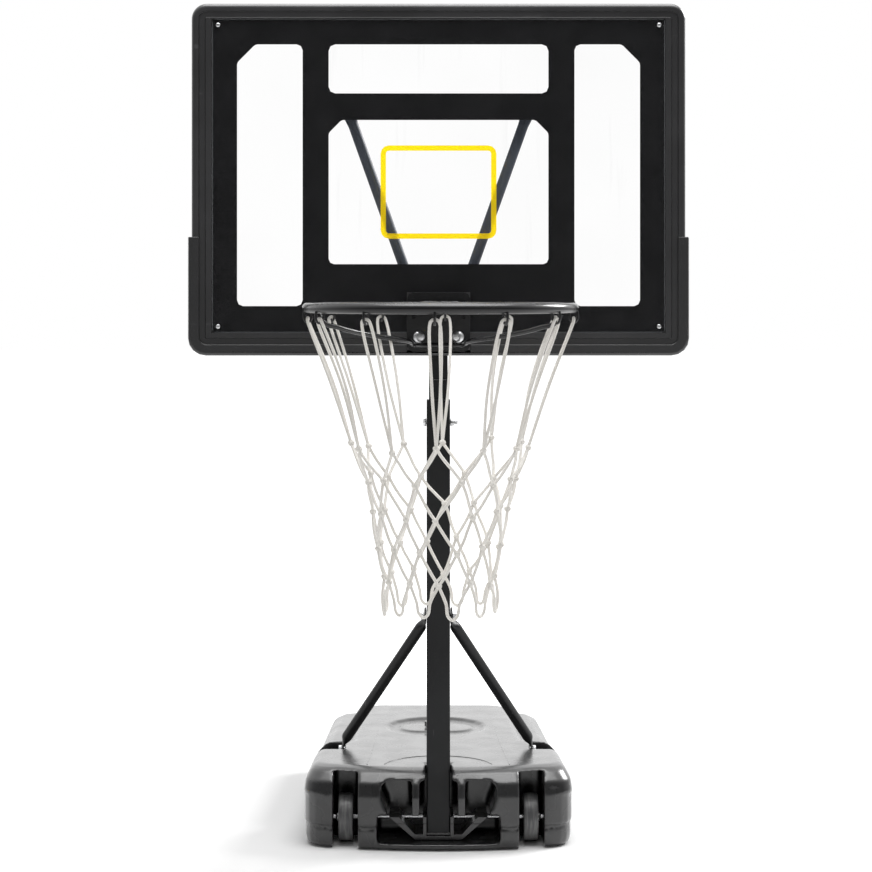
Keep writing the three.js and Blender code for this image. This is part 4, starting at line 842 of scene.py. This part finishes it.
# Bracket bolts: two zinc carriage bolts with domed heads. They pass through the bracket, the
# board and the mount plate, and hold all three together.
dome_wide, dome_tall = 0.01, 0.005
bolt_x, bolt_y, bolt_z = 0.033, -0.3482, 0.869
dome = [
    (dome_wide * math.sin(math.radians(turn)), -dome_tall * math.cos(math.radians(turn)))
    for turn in range(10, 90, 10)
]
bolt_line = [(0, -dome_tall)] + dome + [(dome_wide, -0.0004), (0.0097, 0)]
for name, side in both_sides:
    bm = bmesh.new()
    turned(
        bm, bolt_line + thread(0.004, 0.026, 0.0473), to_rear, (side * bolt_x, bolt_y, bolt_z), 36
    )
    fitted(shown(bm, f"dome_bolt_{name}", zinc), "mast", "zinc_steel", f"rim_bolt_{name}")

# Net: off-white braided polyester cord, knotted by hand. Twelve long loops hang from the hooks,
# four rows of diamonds follow, and twelve free loops close its foot.
net_cord = Finish("net_cord", Sheen_Weight=0.3)
strand = net_cord.noise(1, 2, net_cord.stretched((900, 900, 500), (0.4, 0.3, 0)))
plait = net_cord.node(
    "ShaderNodeTexWave", {"wave_type": "BANDS", "bands_direction": "DIAGONAL"},
    {"Vector": net_cord.place, "Scale": 210.0, "Distortion": 1.5, "Detail": 1.0}, out="Fac",
)
soil = net_cord.between(net_cord.noise(16, 4), 0.45, 0.75)
fibre = net_cord.mix(plait * 0.45, (0.88, 0.855, 0.81), (0.66, 0.635, 0.59))
soiled = net_cord.mix(soil * 0.22, fibre, (0.66, 0.62, 0.54))
net_cord.paint(soiled, net_cord.between(strand, 0.3, 0.7, 0.75, 0.95))
net_cord.bump(plait, 0.0005, 0.9)
net_cord.bump(strand, 0.0003, 0.6)

cord, hook_step, loop_half = 0.0025, 2 * math.pi / hook_count, 0.007
rows = ((0.7038, 0.1411), (0.652, 0.1189), (0.6009, 0.107), (0.5479, 0.0959), (0.496, 0.089))
sway = random.Random(11)
knots = []
for row, (z, reach) in enumerate(rows):
    shift = hook_step / 2 if row % 2 else 0
    knots.append([
        Vector(round_rim(
            angle + shift + sway.uniform(-0.05, 0.05),
            reach + sway.uniform(-0.004, 0.004),
            z + sway.uniform(-0.006, 0.006),
        ))
        for angle in hook_angles
    ])


def slack(first, second, droop, bow):
    """A strand between two knots that bows a little from a straight line."""
    line = []
    for share in (0, 0.3, 0.65, 1):
        point = first.lerp(second, share)
        hang = 4 * share * (1 - share)
        away = Vector((point.x, point.y - rim_y, 0)).normalized()
        wave = Vector((sway.uniform(-1, 1), sway.uniform(-1, 1), 0)) * 0.0012 * hang
        line.append(point + Vector((0, 0, -droop * hang)) + away * bow * hang + wave)
    return line


cords = []
arch_z = hook_z + hook_wire + cord + clearance
arch = ((-1, -0.0021), (-0.5, 0.0016), (0, 0.0024), (0.5, 0.0016), (1, -0.0021))
spread = loop_half / ring_reach
leg_reach, leg_z = (ring_reach + rows[0][1]) / 2 - 0.005, (arch_z + rows[0][0]) / 2
for i, angle in enumerate(hook_angles):
    top = [round_rim(angle + spread * share, ring_reach, arch_z + rise) for share, rise in arch]
    left, right = (
        round_rim(
            angle + side * 1.2 * spread + sway.uniform(-0.01, 0.01),
            leg_reach + sway.uniform(-0.003, 0.003),
            leg_z,
        )
        for side in (-1, 1)
    )
    cords.append([knots[0][i], left, *top, right, knots[0][i]])
for row in range(len(rows) - 1):
    for i in range(hook_count):
        before = i if row % 2 else i - 1
        for other in (before, before + 1):
            cords.append(slack(knots[row][i], knots[row + 1][other % hook_count], 0.0015, 0.0015))
foot_z, foot_reach = rows[-1]
spread = loop_half / foot_reach
for i, angle in enumerate(hook_angles):
    low = foot_z - 0.052 + sway.uniform(-0.008, 0.006)
    middle = angle + hook_step / 2 + sway.uniform(-0.04, 0.04)
    bulge = (foot_reach + 0.002, (low + foot_z) / 2)
    dip = (foot_reach, low + 0.001)
    cords.append([
        knots[-1][i],
        *(
            round_rim(middle + share * spread, *place)
            for share, place in ((-1.6, bulge), (-0.5, dip), (0.5, dip), (1.6, bulge))
        ),
        knots[-1][(i + 1) % hook_count],
    ])
fitted(wires("cord_net", net_cord, cords, cord, sides=3, steps=7), "mast", "net_cord", "net")
knot_line = [
    Vector((
        0.0032 * math.cos(math.pi * quarter / 2),
        0.0028 * math.sin(math.pi * quarter / 2),
        0.0008 * math.cos(math.pi * quarter),
    ))
    for quarter in range(4)
]
turns = []
for row in knots:
    for centre in row:
        for lean in (1, -1, 1):
            swing = Matrix.Rotation(sway.uniform(0, math.pi), 3, "Z")
            tilt = swing @ Matrix.Rotation(sway.uniform(0.3, 1.3) * lean, 3, "X")
            turns.append([centre + tilt @ point for point in knot_line])
knot_turns = wires("net_knots", net_cord, turns, cord, closed=True, sides=2, steps=4)
fitted(knot_turns, "mast", "net_cord")

# Floor: a wide pale studio floor. Away from the tank it fades to pure white, for the camera
# alone, so that the glow adds no light to the object.
bm = bmesh.new()
bmesh.ops.create_grid(bm, x_segments=2, y_segments=2, size=30)
floor_white = Finish(
    "floor_white", Base_Color=(0.86, 0.86, 0.86, 1), Roughness=0.9, Specular_IOR_Level=0.0
)
reach = floor_white.node(
    "ShaderNodeVectorMath", {"operation": "LENGTH"}, {0: floor_white.place}, out="Value"
)
rays = floor_white.node("ShaderNodeLightPath", out="Is Camera Ray")
glow = floor_white.mix(floor_white.between(reach, 0.6, 1.6) * rays, (0, 0, 0), (1, 1, 1))
floor_white.join(floor_white.shader, {"Emission Color": glow, "Emission Strength": 1.0})
floor = shown(bm, "studio_floor", floor_white)

# Light: a white room that is dark low behind the camera, a strong soft lamp high on the right and
# behind the mast, which throws the shadow to the left, and a wide weak one overhead.
room = bpy.data.worlds.new("pale_room")
bpy.context.scene.world = room
room.use_nodes = True
sky = room.node_tree
ground = sky.nodes["Background"]
ground.inputs["Color"].default_value = (1, 1, 1, 1)
path = sky.nodes.new("ShaderNodeLightPath")
aim = sky.nodes.new("ShaderNodeSeparateXYZ")
sky.links.new(sky.nodes.new("ShaderNodeTexCoord").outputs["Generated"], aim.inputs[0])
behind = sky.nodes.new("ShaderNodeMapRange")
for key, level in (("From Min", -0.3), ("From Max", 0.9), ("To Min", 0.17), ("To Max", 1.28)):
    behind.inputs[key].default_value = level
sky.links.new((Value(aim.outputs["Y"]) + Value(aim.outputs["Z"])).socket, behind.inputs["Value"])
plain = Value(path.outputs["Is Diffuse Ray"]) * 0.5
bright = Value(path.outputs["Is Camera Ray"]) + Value(path.outputs["Is Transmission Ray"])
mirrored = Value(path.outputs["Is Glossy Ray"]) * Value(behind.outputs[0])
sky.links.new((plain + bright + mirrored).socket, ground.inputs["Strength"])


def soft_lamp(name, place, aim, size, power):
    lamp = bpy.data.lights.new(name, "AREA")
    lamp.shape = "DISK"
    lamp.size = size
    lamp.energy = power
    holder = bpy.data.objects.new(name, lamp)
    holder.location = place
    holder.rotation_euler = (Vector(aim) - Vector(place)).to_track_quat("-Z", "Y").to_euler()
    bpy.context.scene.collection.objects.link(holder)


soft_lamp("key_lamp", (2.5, 1.1, 2.5), (0, -0.1, 0.3), 1.3, 85)
soft_lamp("ceiling_lamp", (0.1, -0.6, 3.0), (0, -0.5, 0.7), 2.4, 68)

# Camera: level, about a metre up and four metres off. Its long lens and the shift of its frame
# show the hoop as the photograph does.
lens = bpy.data.cameras.new("camera")
lens.lens = 96.0
lens.sensor_width = 36.0
lens.shift_x = 0.0242
lens.shift_y = -0.172
lens.clip_end = 100
camera = bpy.data.objects.new("camera", lens)
camera.location = (-0.04, -4.274, 0.955)
camera.rotation_euler = (math.radians(90), 0, 0)
bpy.context.scene.collection.objects.link(camera)
bpy.context.scene.camera = camera
bpy.context.scene.view_settings.view_transform = "Standard"
